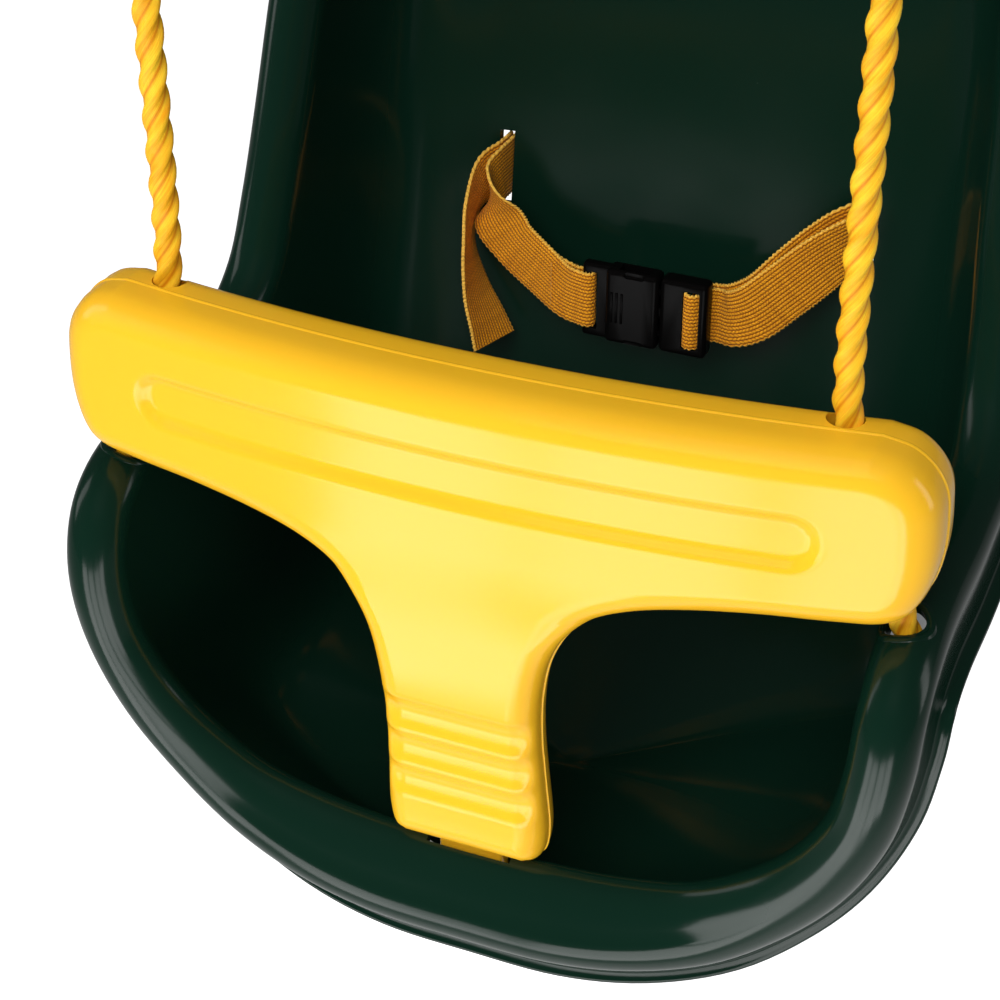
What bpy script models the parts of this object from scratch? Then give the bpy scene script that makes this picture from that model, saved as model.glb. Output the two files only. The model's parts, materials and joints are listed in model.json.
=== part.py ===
"""High-back toddler bucket swing seat with a T-shaped lap bar, two ropes and a lap belt.

Everything on the seat is modelled in the seat's own frame, in millimetres turned to metres by
mm(): x to the viewer's right, y towards the backrest, z up along the front ropes, with zero in
the middle of the T-bar. The empty "hang" then leans that frame so that the seat hangs level
under its two rings, whose bottom wires are the swing's axis and the object's origin.
"""
import math

import bmesh
import bpy
from mathutils import Matrix, Vector

# ---- driving dimensions, millimetres -------------------------------------------------------
ROPE_R = 5.0              # 10 mm rope
ROPE_X = 123.2            # half the spacing of the ropes
LEAN = 10.43               # degrees that the front ropes lean back when the seat hangs at rest
WIRE_Y, WIRE_Z = 5.45, 500.0   # the rings' bottom wires, in the seat's frame
RING_R, RING_WIRE = 21.0, 4.0
EYE_R = 20.0
WALL = 4.0                # shell thickness
ROLL = 12.0               # radius of the rolled rim
BAR_HALF = 160.0          # half the T-bar's length
BAR_H = 33.0              # half its height
BAR_D = 19.0              # half its depth
BAR_ROUND = 12.0          # rounding of its edges
BAR_WALL = 3.2
STEM_D = 12.0             # half the stem's depth
WEB = 25.0                # webbing width
WEB_T = 1.4
SLOT_X = 79.0             # belt slots in the backrest
BUCKLE = (-5.0, 176.0, -41.0)

# ---- scene ---------------------------------------------------------------------------------
for old in list(bpy.data.objects):
    bpy.data.objects.remove(old, do_unlink=True)


def mm(p):
    return Vector(p) * 0.001


def material(name, rgb, rough, metal=0.0):
    m = bpy.data.materials.new(name)
    m.use_nodes = True
    b = m.node_tree.nodes["Principled BSDF"]
    b.inputs["Base Color"].default_value = (*rgb, 1.0)
    b.inputs["Roughness"].default_value = rough
    b.inputs["Metallic"].default_value = metal
    return m


GREEN = material("green_plastic", (0.006, 0.035, 0.022), 0.22)
YELLOW = material("yellow_plastic", (0.93, 0.52, 0.03), 0.28)
ROPE = material("yellow_rope", (0.95, 0.50, 0.03), 0.5)
WEBBING = material("orange_webbing", (0.72, 0.30, 0.02), 0.8)
BLACK = material("black_plastic", (0.012, 0.012, 0.013), 0.35)
STEEL = material("zinc_steel", (0.62, 0.63, 0.64), 0.3, 1.0)
ALU = material("alu_sleeve", (0.7, 0.7, 0.7), 0.35, 1.0)

hang = bpy.data.objects.new("hang", None)
bpy.context.collection.objects.link(hang)
hang.rotation_euler = (math.radians(-LEAN), 0, 0)
hang.location = -(Matrix.Rotation(math.radians(-LEAN), 3, "X") @ mm((0, WIRE_Y, WIRE_Z)))


def add_mesh(name, verts, faces, mat=None, parent=hang, smooth=True):
    me = bpy.data.meshes.new(name)
    me.from_pydata([tuple(mm(v)) for v in verts], [], faces)
    me.update()
    ob = bpy.data.objects.new(name, me)
    bpy.context.collection.objects.link(ob)
    if parent:
        ob.parent = parent
    if mat:
        me.materials.append(mat)
    bm = bmesh.new()
    bm.from_mesh(me)
    bmesh.ops.recalc_face_normals(bm, faces=bm.faces)
    bm.to_mesh(me)
    bm.free()
    if smooth:
        me.shade_smooth()
    return ob


def cutter(ob):
    ob.hide_render = True
    ob.display_type = "WIRE"
    return ob


def cut(ob, tool, op="DIFFERENCE"):
    m = ob.modifiers.new(tool.name, "BOOLEAN")
    m.object = tool
    m.operation = op
    m.solver = "EXACT"
    return m


def tube_between(name, a, b, r, mat=None, seg=16, parent=hang):
    """A cylinder from a to b."""
    a, b = Vector(a), Vector(b)
    d = (b - a).normalized()
    side = d.cross(Vector((0, 0, 1)) if abs(d.z) < 0.9 else Vector((1, 0, 0))).normalized()
    up = d.cross(side)
    ring = [(math.cos(2 * math.pi * i / seg), math.sin(2 * math.pi * i / seg)) for i in range(seg)]
    verts = [a + side * c * r + up * s * r for c, s in ring] + [b + side * c * r + up * s * r for c, s in ring]
    faces = [(i, (i + 1) % seg, seg + (i + 1) % seg, seg + i) for i in range(seg)]
    faces += [tuple(range(seg))[::-1], tuple(range(seg, 2 * seg))]
    return add_mesh(name, verts, faces, mat, parent)


def box(name, lo, hi, mat=None, bevel=0.0, segs=2, parent=hang):
    v = [(x, y, z) for x in (lo[0], hi[0]) for y in (lo[1], hi[1]) for z in (lo[2], hi[2])]
    f = [(0, 1, 3, 2), (4, 6, 7, 5), (0, 4, 5, 1), (2, 3, 7, 6), (0, 2, 6, 4), (1, 5, 7, 3)]
    ob = add_mesh(name, v, f, mat, parent, smooth=False)
    if bevel:
        m = ob.modifiers.new("edges", "BEVEL")
        m.width = bevel * 0.001
        m.segments = segs
        m.limit_method = "ANGLE"
    return ob


# ---- the shell -----------------------------------------------------------------------------
# Stations of the rim on the right-hand side, front to top: the centre of the rolled edge
# (x, y, z), the tilt of the direction that the rim faces (0 up, 90 forward), the depth of the
# wall behind it, the point where that wall meets the floor, and how far the wall follows the
# facing direction (1, the backrest) or drops straight to the floor (0, the sides and front).
# The last value is how far the rolled edge reaches in and up as the broad lip at the front.
STATIONS = [
    (0, -26, -199, 50, 14, 0, 12, -209, 0, 0.75),
    (35, -26, -198, 50, 14, 28, 14, -209, 0, 0.75),
    (65, -24, -193, 52, 18, 52, 18, -208, 0, 0.65),
    (93, -21, -182, 56, 26, 72, 26, -206, 0, 0.45),
    (116, -20, -163, 62, 40, 87, 36, -204, 0, 0.25),
    (134, -21, -140, 70, 54, 97, 46, -201, 0, 0.1),
    (146, -22, -114, 78, 66, 102, 56, -198, 0, 0),
    (151, -22, -89, 82, 76, 105, 66, -195, 0, 0),
    (152, -17, -68, 66, 90, 106, 76, -192, 0, 0),
    (152, -4, -55, 32, 106, 106, 86, -190, 0, 0),
    (152, 20, -49, 6, 112, 106, 98, -188, 0, 0),
    (153, 55, -46, 4, 112, 106, 112, -186, 0, 0),
    (153, 90, -40, 16, 104, 105, 128, -184, 0, 0),
    (151, 112, -22, 45, 88, 102, 144, -178, 0.3, 0),
    (149, 124, 5, 66, 74, 97, 158, -170, 0.6, 0),
    (146, 134, 40, 73, 66, 92, 170, -162, 0.85, 0),
    (143, 147, 85, 74, 60, 84, 178, -156, 1, 0),
    (137, 165, 150, 74, 54, 72, 183, -152, 1, 0),
    (124, 181, 205, 74, 50, 57, 186, -150, 1, 0),
    (97, 190, 236, 74, 48, 40, 187, -149, 1, 0),
    (51, 194, 248, 74, 48, 20, 188, -148, 1, 0),
    (0, 195, 251, 74, 48, 0, 188, -148, 1, 0),
]
FLOOR = Vector((0, 85, -212))


def stations():
    left = [(-s[0], *s[1:5], -s[5], *s[6:]) for s in STATIONS[-2:0:-1]]
    return STATIONS + left


ALL = stations()


def loop(t):
    """All of the station values at t, 0 to 1 round the rim, by a Catmull-Rom curve."""
    n = len(ALL)
    u = (t % 1.0) * n
    i = int(u)
    f = u - i
    p = [ALL[(i + j - 1) % n] for j in range(4)]
    return [0.5 * (2 * b + (c - a) * f + (2 * a - 5 * b + 4 * c - d) * f * f + (3 * b - a - 3 * c + d) * f ** 3)
            for a, b, c, d in zip(*p)]


def rim_frame(t):
    s = loop(t)
    along = (Vector(loop(t + 0.001)[:3]) - Vector(loop(t - 0.001)[:3])).normalized()
    ph = math.radians(s[3])
    up = Vector((0, -math.sin(ph), math.cos(ph)))
    up = (up - along * along.dot(up)).normalized()
    return s, up, along.cross(up)


# (outwards, up) of the flange, the skirt and the roll, from the rolled edge's centre
PROFILE = [(ROLL + 6.0, -18.5), (ROLL + 1.6, -17.6), (ROLL + 0.2, -10.0)]
ROLL_ANGLES = (0, 36, 72, 108, 144, 180)


def roll_point(angle, lip):
    """A point of the rolled edge; with a lip its inner half is stretched in and up."""
    a = math.radians(angle)
    inner = max(0.0, -math.cos(a))
    return ROLL * math.cos(a) - 18.0 * lip * inner, ROLL * math.sin(a) + 13.0 * lip * inner


def pan_controls(t):
    s, up, out = rim_frame(t)
    c, depth, w = Vector(s[:3]), s[4], min(1.0, max(0.0, s[8]))
    o, u = roll_point(180, max(0.0, s[9]))
    edge = c + out * o + up * u
    foot = Vector(s[5:8])
    flat = [Vector((edge.x * a + foot.x * (1 - a), *(edge.yz.lerp(foot.yz, b))))
            for a, b in ((0.98, 0.30), (0.90, 0.68), (0.62, 0.93))]
    back = [edge - up * depth * 0.35, edge - up * depth * 0.96 - out * depth * 0.12]
    back.append((back[1] + foot) / 2)
    walls = [p.lerp(q, w) for p, q in zip(flat, back)]
    return [edge, *walls, foot, foot * 0.45 + FLOOR * 0.55, FLOOR]


def spline(points, s):
    """A clamped uniform cubic B-spline."""
    n, deg = len(points), 3
    knots = [0.0] * (deg + 1) + [i / (n - deg) for i in range(1, n - deg)] + [1.0] * (deg + 1)
    if s >= 1:
        return points[-1].copy()
    k = deg
    while knots[k + 1] <= s:
        k += 1
    d = [points[j + k - deg].copy() for j in range(deg + 1)]
    for r in range(1, deg + 1):
        for j in range(deg, r - 1, -1):
            a = (s - knots[j + k - deg]) / (knots[j + 1 + k - r] - knots[j + k - deg])
            d[j] = d[j - 1].lerp(d[j], a)
    return d[deg]


def build_shell(rounds=72, pan_rows=(0.10, 0.2, 0.32, 0.44, 0.56, 0.68, 0.80, 0.92)):
    verts, faces = [], []
    for i in range(rounds):
        t = i / rounds
        s, up, out = rim_frame(t)
        c = Vector(s[:3])
        verts += [c + out * o + up * u for o, u in PROFILE + [roll_point(a, max(0.0, s[9])) for a in ROLL_ANGLES]]
        ctrl = pan_controls(t)
        verts += [spline(ctrl, r) for r in pan_rows]
    rows = len(PROFILE) + len(ROLL_ANGLES) + len(pan_rows)
    for i in range(rounds):
        a, b = i * rows, (i + 1) % rounds * rows
        faces += [(a + j, b + j, b + j + 1, a + j + 1) for j in range(rows - 1)]
    verts.append(FLOOR)
    mid = len(verts) - 1
    faces += [(i * rows + rows - 1, (i + 1) % rounds * rows + rows - 1, mid) for i in range(rounds)]
    ob = add_mesh("seat_shell", verts, faces, GREEN)
    bm = bmesh.new()
    bm.from_mesh(ob.data)
    bm.faces.ensure_lookup_table()
    # the inside of the pan is the sheet's front: the floor's faces look up
    if sum(f.normal.z for f in bm.faces if f.calc_center_median().z < -0.19) < 0:
        bmesh.ops.reverse_faces(bm, faces=bm.faces)
    bm.to_mesh(ob.data)
    bm.free()
    m = ob.modifiers.new("wall", "SOLIDIFY")
    m.thickness = WALL * 0.001
    m.offset = -1
    m.use_even_offset = False
    return ob


shell = build_shell()

# rope line: bottom of the front leg through the shell's side, rear leg through the top corner
HOLE_F = Vector((149.0, 3.0, -43.0))
TOP_F = Vector((ROPE_X, 0.0, 33.0))
dir_f = (HOLE_F - TOP_F).normalized()
REAR_HOLE = Vector((128.5, 175.5, 186.0))
REAR_TOP = Vector((ROPE_X, 10.9, 428.0))
dir_r = (REAR_HOLE - REAR_TOP).normalized()
KNOT_F = Vector((158.0, 12.0, -82.0))
KNOT_R = Vector((139.0, 199.0, 152.0))
KNOT_SIZE = 10.0


def mirror(p, sx):
    return Vector((p[0] * sx, p[1], p[2]))


for side, sx in (("left", -1), ("right", 1)):
    a, b = HOLE_F - dir_f * 22, HOLE_F + dir_f * 14
    cut(shell, cutter(tube_between("cut_front_hole_" + side, mirror(a, sx), mirror(b, sx), 7.6, seg=20)))
    a, b = REAR_HOLE - dir_r * 26, REAR_HOLE + dir_r * 4
    cut(shell, cutter(tube_between("cut_rear_hole_" + side, mirror(a, sx), mirror(b, sx), 7.6, seg=20)))
    cut(shell, cutter(box("cut_belt_slot_" + side, (sx * SLOT_X - 3.2, 185, -18.5), (sx * SLOT_X + 3.2, 230, 13.5))))
cut(shell, cutter(box("cut_tongue_slot", (-17, -23.5, -200), (17, -10.5, -165))))

# ---- the T-bar -----------------------------------------------------------------------------
# half outline in front view, from the middle of the stem's foot round to the middle of the top
OUTLINE = [(0, -168.5), (24, -168.5), (29, -165.5), (31.2, -157), (30.4, -130), (29.8, -108), (31.0, -86), (34.4, -69),
           (40.3, -57), (49, -48.5), (62, -42.5), (80, -38.2), (105, -35), (130, -33.6), (146, -32.0),
           (153, -28), (157.5, -20), (160, -8), (160, 6), (158.5, 16), (154, 24), (147, 30), (137, 33), (60, 33), (0, 33)]


def dense(points, step=3.0):
    out = []
    for a, b in zip(points, points[1:]):
        n = max(1, int(math.dist(a, b) / step))
        out += [(a[0] + (b[0] - a[0]) * i / n, a[1] + (b[1] - a[1]) * i / n) for i in range(n)]
    return out + [points[-1]]


def edge_distance(x, z):
    """How far (x, z) is inside the outline."""
    best = 1e9
    x = abs(x)
    for (x0, z0), (x1, z1) in zip(OUTLINE, OUTLINE[1:]):
        dx, dz = x1 - x0, z1 - z0
        t = max(0.0, min(1.0, ((x - x0) * dx + (z - z0) * dz) / (dx * dx + dz * dz)))
        best = min(best, math.hypot(x - x0 - t * dx, z - z0 - t * dz))
    return best


def width_at(z):
    """Half width of the outline at height z."""
    best = 0.0
    for (x0, z0), (x1, z1) in zip(OUTLINE, OUTLINE[1:]):
        if min(z0, z1) - 1e-6 <= z <= max(z0, z1) + 1e-6 and z0 != z1:
            best = max(best, x0 + (x1 - x0) * (z - z0) / (z1 - z0))
        elif z0 == z1 and abs(z - z0) < 1e-6:
            best = max(best, x0, x1)
    return best


def smooth_step(a, b, v):
    t = max(0.0, min(1.0, (v - a) / (b - a)))
    return t * t * (3 - 2 * t)


def bar_middle(x):
    """The bar bows forward in the middle."""
    return -1.5 - 15.5 * (1 - (x / BAR_HALF) ** 2)


def bar_front(x, z):
    stem = smooth_step(-30, -62, z)
    bar = bar_middle(x) - BAR_D
    low = -39.0 + 8.0 * smooth_step(-70, -166, z)
    return bar * (1 - stem) + low * stem


def bar_depth(x, z):
    stem = smooth_step(-28, -58, z)
    thick = 2 * STEM_D
    return 2 * BAR_D * (1 - stem) + thick * stem


def groove(x, z):
    """Depth of the long groove on the bar's front and of the grip scallops on the stem."""
    d = 0.0
    e = max(0.0, abs(x) - 114)
    g = math.hypot(e, z + 0.5)
    d += 3.0 * (1 - smooth_step(6.5, 11.5, g))
    if abs(x) < 31:
        for z0 in (-103.5, -120.5, -137.5):
            k = (z - z0) / 8.0
            if abs(k) < 1:
                d += 2.8 * math.cos(k * math.pi / 2) * (1 - smooth_step(23, 31, abs(x)))
    return d


def bar_surface(x, z, front, inset=0.0):
    e = max(0.0, min(BAR_ROUND, edge_distance(x, z) - inset))
    r = min(BAR_ROUND - inset * 0.5, bar_depth(x, z) / 2 - 2.0)
    k = 1 - min(1.0, e / r)
    lift = r * (1 - math.sqrt(max(0.0, 1 - k * k)))
    f = bar_front(x, z) + inset
    b = bar_front(x, z) + bar_depth(x, z) - inset
    if front:
        return f + lift + (groove(x, z) if not inset else 3.0 * (groove(x, z) > 0.3))
    return b - lift


def build_bar(name, inset, rows, cols):
    verts, faces = [], []
    for z in rows:
        w = width_at(z)
        if inset:
            lo, hi = 0.0, w
            while hi - lo > 0.05:
                mid = (lo + hi) / 2
                lo, hi = (mid, hi) if edge_distance(mid, z) >= inset else (lo, mid)
            w = lo
        for c in cols:
            verts.append((c * w, bar_surface(c * w, z, True, inset), z))
        for c in cols:
            verts.append((c * w, bar_surface(c * w, z, False, inset), z))
    n, k = len(cols), 2 * len(cols)
    for r in range(len(rows) - 1):
        a, b = r * k, (r + 1) * k
        faces += [(a + j, a + j + 1, b + j + 1, b + j) for j in range(n - 1)]
        faces += [(a + n + j, b + n + j, b + n + j + 1, a + n + j + 1) for j in range(n - 1)]
        faces += [(a, b, b + n, a + n), (a + n - 1, a + 2 * n - 1, b + 2 * n - 1, b + n - 1)]
    last = (len(rows) - 1) * k
    faces += [(j, n + j, n + j + 1, j + 1) for j in range(n - 1)]
    faces += [(last + j, last + j + 1, last + n + j + 1, last + n + j) for j in range(n - 1)]
    return add_mesh(name, verts, faces, YELLOW)


ROWS = [-168.5, -165.5, -161, -152, -145.6, -141.5, -137.5, -133.5, -129.4, -128.6, -124.5, -120.5, -116.5, -112.4, -111.6, -107.5, -103.5,
        -99.5, -95.4, -86, -72, -60, -51, -44.5, -39.5,
        -36, -33.4, -31, -28, -24, -18, -11, -8, -4, 1, 6, 10, 14, 19, 24, 28, 31, 33]
COLS = [-1, -0.97, -0.92, -0.84, -0.74, -0.62, -0.46, -0.28, -0.1, 0.1, 0.28, 0.46, 0.62, 0.74, 0.84, 0.92, 0.97, 1]
t_bar = build_bar("t_bar", 0.0, ROWS, COLS)
hollow = cutter(build_bar("cut_bar_hollow", BAR_WALL,
                          [-160, -150, -120, -95, -75, -60, -50, -42, -34, -29, -22, -10, 1, 12, 20, 26, 29.6],
                          [-1, -0.9, -0.72, -0.46, -0.16, 0.16, 0.46, 0.72, 0.9, 1]))
cut(t_bar, hollow)
for side, sx in (("left", -1), ("right", 1)):
    # bore in the top, and in the bottom a long hole that lets the bar ride up past the rope's bend
    cut(t_bar, cutter(tube_between("cut_bar_top_" + side, (sx * ROPE_X, 0, 20), (sx * ROPE_X, 0, 45), 6.4, seg=20)))
    cut(t_bar, cutter(tube_between("cut_bar_relief_" + side, (sx * (ROPE_X + 1.5), 0, 12), (sx * (ROPE_X + 1.5), 0, 31.2), 8.4, seg=20)))
    lo, hi = (113.3, 152.7) if sx > 0 else (-152.7, -113.3)
    cut(t_bar, cutter(box("cut_bar_bottom_" + side, (lo, -8.4, -50), (hi, 9.0, -18), bevel=3.0)))
tongue = cutter(box("tongue", (-13, -20.8, -184), (13, -13.6, -160), bevel=1.5))
cut(t_bar, tongue, "UNION")

# ---- ropes ---------------------------------------------------------------------------------
def catmull(points, per=12):
    pts = [Vector(p) for p in points]
    pts = [pts[0] * 2 - pts[1]] + pts + [pts[-1] * 2 - pts[-2]]
    out = []
    for a, b, c, d in zip(pts, pts[1:], pts[2:], pts[3:]):
        ta, tb, tc = (max(1e-6, (q - p).length) ** 0.5 for p, q in ((a, b), (b, c), (c, d)))
        m1 = (b - a) / ta - (c - a) / (ta + tb) + (c - b) / tb
        m2 = (c - b) / tb - (d - b) / (tb + tc) + (d - c) / tc
        m1, m2 = m1 * tb, m2 * tb
        for i in range(per):
            f = i / per
            out.append(b * (2 * f ** 3 - 3 * f ** 2 + 1) + m1 * (f ** 3 - 2 * f ** 2 + f)
                       + c * (3 * f ** 2 - 2 * f ** 3) + m2 * (f ** 3 - f ** 2))
    return out + [pts[-2]]


def resample(points):
    """Points along a line, closer together round the eye, and the line's length."""
    def step(p):
        return 8.0 if p.z > 452 else 11.0 if p.z > 405 or abs(p.z) < 45 else 21.0
    cost, length = [0.0], 0.0
    for a, b in zip(points, points[1:]):
        cost.append(cost[-1] + (b - a).length / step((a + b) / 2))
        length += (b - a).length
    n = round(cost[-1])
    out, j = [], 0
    for i in range(n + 1):
        s = cost[-1] * i / n
        while j < len(cost) - 2 and cost[j + 1] < s:
            j += 1
        out.append(points[j].lerp(points[j + 1], (s - cost[j]) / max(1e-9, cost[j + 1] - cost[j])))
    return out, length


EYE_Z = WIRE_Z - (EYE_R - ROPE_R - RING_WIRE) + 0.9
ROPE_ROUTE = [
    KNOT_F + Vector((-3.2, -4.5, KNOT_SIZE + 0.6)),
    HOLE_F + dir_f * 10,
    HOLE_F,
    HOLE_F - dir_f * 40,
    Vector((ROPE_X + 2.0, 0, 27)),
    Vector((ROPE_X, 0, 42)),
    Vector((ROPE_X, 0, 150)),
    Vector((ROPE_X, 0, 300)),
    Vector((ROPE_X, 0, 420)),
    Vector((ROPE_X, 0, 432)),
    Vector((ROPE_X, 0, 442)),
    Vector((ROPE_X, 0, 452)),
    Vector((ROPE_X, -5.5, 465)),
    Vector((ROPE_X, WIRE_Y - EYE_R * 0.93, EYE_Z - EYE_R * 0.45)),
    Vector((ROPE_X, WIRE_Y - EYE_R * 0.93, EYE_Z + EYE_R * 0.36)),
    Vector((ROPE_X, WIRE_Y - EYE_R * 0.5, EYE_Z + EYE_R * 0.86)),
    Vector((ROPE_X, WIRE_Y, EYE_Z + EYE_R)),
    Vector((ROPE_X, WIRE_Y + EYE_R * 0.5, EYE_Z + EYE_R * 0.86)),
    Vector((ROPE_X, WIRE_Y + EYE_R * 0.93, EYE_Z + EYE_R * 0.36)),
    Vector((ROPE_X, WIRE_Y + EYE_R * 0.93, EYE_Z - EYE_R * 0.45)),
    Vector((ROPE_X, 16.4, 465)),
    Vector((ROPE_X, 10.9, 452)),
    Vector((ROPE_X, 10.9, 442)),
    Vector((ROPE_X, 10.9, 432)),
    Vector((ROPE_X + 0.1, 14.8, 413)),
    REAR_TOP.lerp(REAR_HOLE, 0.22) + Vector((0, -2, 0)),
    REAR_TOP.lerp(REAR_HOLE, 0.55),
    REAR_HOLE - dir_r * 30,
    REAR_HOLE,
    REAR_HOLE + dir_r * 12 + Vector((0.8, 0, 0)),
    KNOT_R + Vector((-2.6, -7.0, 8.4)),
]

for side, sx in (("left", -1), ("right", 1)):
    pts, length = resample(catmull([mirror(p, sx) for p in ROPE_ROUTE]))
    cu = bpy.data.curves.new("rope_" + side, "CURVE")
    cu.dimensions = "3D"
    cu.bevel_depth = ROPE_R * 0.001
    cu.bevel_resolution = 2
    cu.use_fill_caps = True
    sp = cu.splines.new("POLY")
    sp.points.add(len(pts) - 1)
    for q, p in zip(sp.points, pts):
        q.co = (*mm(p), 1)
    cu.materials.append(ROPE)
    rope = bpy.data.objects.new("rope_" + side, cu)
    bpy.context.collection.objects.link(rope)
    rope.parent = hang

    # stopper knots under the side rim and behind the backrest's rim
    for where, c in (("front", KNOT_F), ("rear", KNOT_R)):
        bpy.ops.mesh.primitive_uv_sphere_add(segments=14, ring_count=8, radius=KNOT_SIZE * 0.001)
        k = bpy.context.object
        k.name = f"knot_{where}_{side}"
        k.location = mm(mirror(c, sx))
        k.parent = hang
        k.data.materials.append(ROPE)
        k.data.shade_smooth()

    # pressed sleeve that closes the eye
    sleeve = box("rope_sleeve_" + side, (sx * ROPE_X - 8.2, -8.2, 433), (sx * ROPE_X + 8.2, 19.1, 450), ALU, bevel=5.0, segs=3)
    for n, y in enumerate((0.0, 10.9)):
        cut(sleeve, cutter(tube_between(f"cut_sleeve_{side}_{n}", (sx * ROPE_X, y, 420), (sx * ROPE_X, y, 460), ROPE_R + 0.5, seg=20)))

# ---- rings, upright in the object's own frame -----------------------------------------------
for side, sx in (("left", -1), ("right", 1)):
    bpy.ops.mesh.primitive_torus_add(major_segments=36, minor_segments=12, major_radius=RING_R * 0.001,
                                     minor_radius=RING_WIRE * 0.001, location=(sx * ROPE_X * 0.001, 0, RING_R * 0.001),
                                     rotation=(math.pi / 2, 0, 0))
    r = bpy.context.object
    r.name = "ring_" + side
    r.data.materials.append(STEEL)
    r.data.shade_smooth()


# ---- lap belt ------------------------------------------------------------------------------
def ribbon(name, points, ups, width=WEB, thick=WEB_T, mat=WEBBING, per=4):
    """A strap of webbing: a flat solid along a smooth line, its width along ups."""
    pts = catmull(points, per)
    up = catmull([Vector(u) * 100 for u in ups], per)
    verts, faces = [], []
    for i, p in enumerate(pts):
        t = (pts[min(i + 1, len(pts) - 1)] - pts[max(i - 1, 0)]).normalized()
        u = up[i].normalized()
        u = (u - t * t.dot(u)).normalized()
        n = t.cross(u)
        verts += [p + u * a * width / 2 + n * b * thick / 2 for a, b in ((-1, -1), (1, -1), (1, 1), (-1, 1))]
    for i in range(len(pts) - 1):
        a, b = 4 * i, 4 * i + 4
        faces += [(a + j, a + (j + 1) % 4, b + (j + 1) % 4, b + j) for j in range(4)]
    faces += [(0, 3, 2, 1), (4 * len(pts) - 4, 4 * len(pts) - 3, 4 * len(pts) - 2, 4 * len(pts) - 1)]
    return add_mesh(name, verts, faces, mat, smooth=False)


Z = (0, 0, 1)
bx, by, bz = BUCKLE
ribbon("belt_left_run", [(bx - 28.2, by, bz), (bx - 36, by + 0.6, bz + 0.4), (-53, by + 3.5, -34.5), (-68, 183, -25),
                         (-77, 184.5, -13), (-79.4, 190, -6), (-78.3, 196.5, -2.9), (-77.8, 203, -2.5), (-77.8, 213, -2.5)],
       [Z, Z, (0.12, 0, 1), (0.2, 0, 1), (0.12, 0, 1), (0.03, 0, 1), Z, Z, Z])
ribbon("belt_right_run", [(bx + 28.6, by - 0.4, bz), (bx + 34.5, by, bz + 0.3), (39, by + 2.4, -36.5), (52, 182, -24.5),
                          (66, 188, -11), (74.5, 195, -5), (78.0, 204, -2.5), (78.0, 213, -2.5)],
       [Z, Z, (-0.08, 0, 1), (-0.12, 0, 1), (-0.12, 0, 1), (-0.05, 0, 1), Z, Z])
ribbon("belt_back_run", [(-77.8, 213.6, -2.5), (-76.2, 216.4, -2.5), (-70, 217.8, -2.5), (0, 218.2, -2.5), (70, 217.8, -2.5),
                         (76.2, 216.4, -2.5), (77.8, 213.6, -2.5)], [Z] * 7)
ribbon("belt_tail", [(-80.4, 213, -2.5), (-80.4, 207, -2.5), (-81.0, 200.5, -2.5), (-84.6, 193.5, -5), (-86.6, 184.5, -14), (-85.2, 177.5, -30),
                     (-81.0, 175, -47), (-74.6, 173.5, -62), (-71.6, 172.5, -69)],
       [Z, Z, Z, (0, -0.3, 0.95), (0.12, -0.77, 0.6), (0.2, -0.95, 0.2), (0.02, -1, 0.05), (-0.2, -0.97, 0), (-0.33, -0.94, 0)])

# side-release buckle: a socket with side windows, and a plug with two sprung prongs
socket = box("buckle_socket", (bx - 27.5, by - 5, bz - 17), (bx + 6.5, by + 5, bz + 17), BLACK, bevel=2.2)
cut(socket, cutter(box("cut_socket_mouth", (bx - 15.5, by - 3.0, bz - 13.2), (bx + 9, by + 3.0, bz + 13.2))))
cut(socket, cutter(box("cut_socket_windows", (bx - 11.0, by - 3.0, bz - 20), (bx + 2.2, by + 3.0, bz + 20))))
plug = box("buckle_plug", (bx + 7.1, by - 4.4, bz - 17), (bx + 27.5, by + 4.4, bz + 17), BLACK, bevel=2.2)
cut(plug, cutter(box("cut_plug_window", (bx + 19, by - 8, bz - 13.2), (bx + 23.4, by + 8, bz + 13.2))))
guide = cutter(box("plug_guide", (bx - 12.5, by - 2.3, bz - 2.2), (bx + 9, by + 2.3, bz + 2.2)))
cut(plug, guide, "UNION")
for name, sz in (("prong_upper", 1), ("prong_lower", -1)):
    # an arm along the mouth's side that ends in a thumb pad standing in the window
    prof = [(6.7, 8.5), (6.7, 10.7), (4.5, 11.5), (-1.9, 12.2), (-2.4, 13.65), (-9.8, 13.65), (-12.2, 10.6), (-12.2, 7.4),
            (-6.0, 7.2), (4.5, 7.7)]
    v = [(bx + x, by + y, bz + sz * z) for y in (-2.4, 2.4) for x, z in prof]
    n = len(prof)
    f = [tuple(range(n)), tuple(range(2 * n - 1, n - 1, -1))] + [(j, (j + 1) % n, n + (j + 1) % n, n + j) for j in range(n)]
    add_mesh(name, v, f, BLACK, smooth=False)
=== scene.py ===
"""Looks of a high-back toddler swing seat: moulded shell, T-shaped lap bar, ropes, rings, lap belt and buckle.

The pieces are placed in the seat's own frame, in millimetres: x to the right, y towards the
backrest, z up along the front ropes, zero in the middle of the lap bar. seat_point() takes
them to the object's frame, in metres, where the seat leans as it hangs.
"""
import json
import math

import bmesh
import bpy
from mathutils import Matrix, Vector
from mathutils.bvhtree import BVHTree

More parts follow.
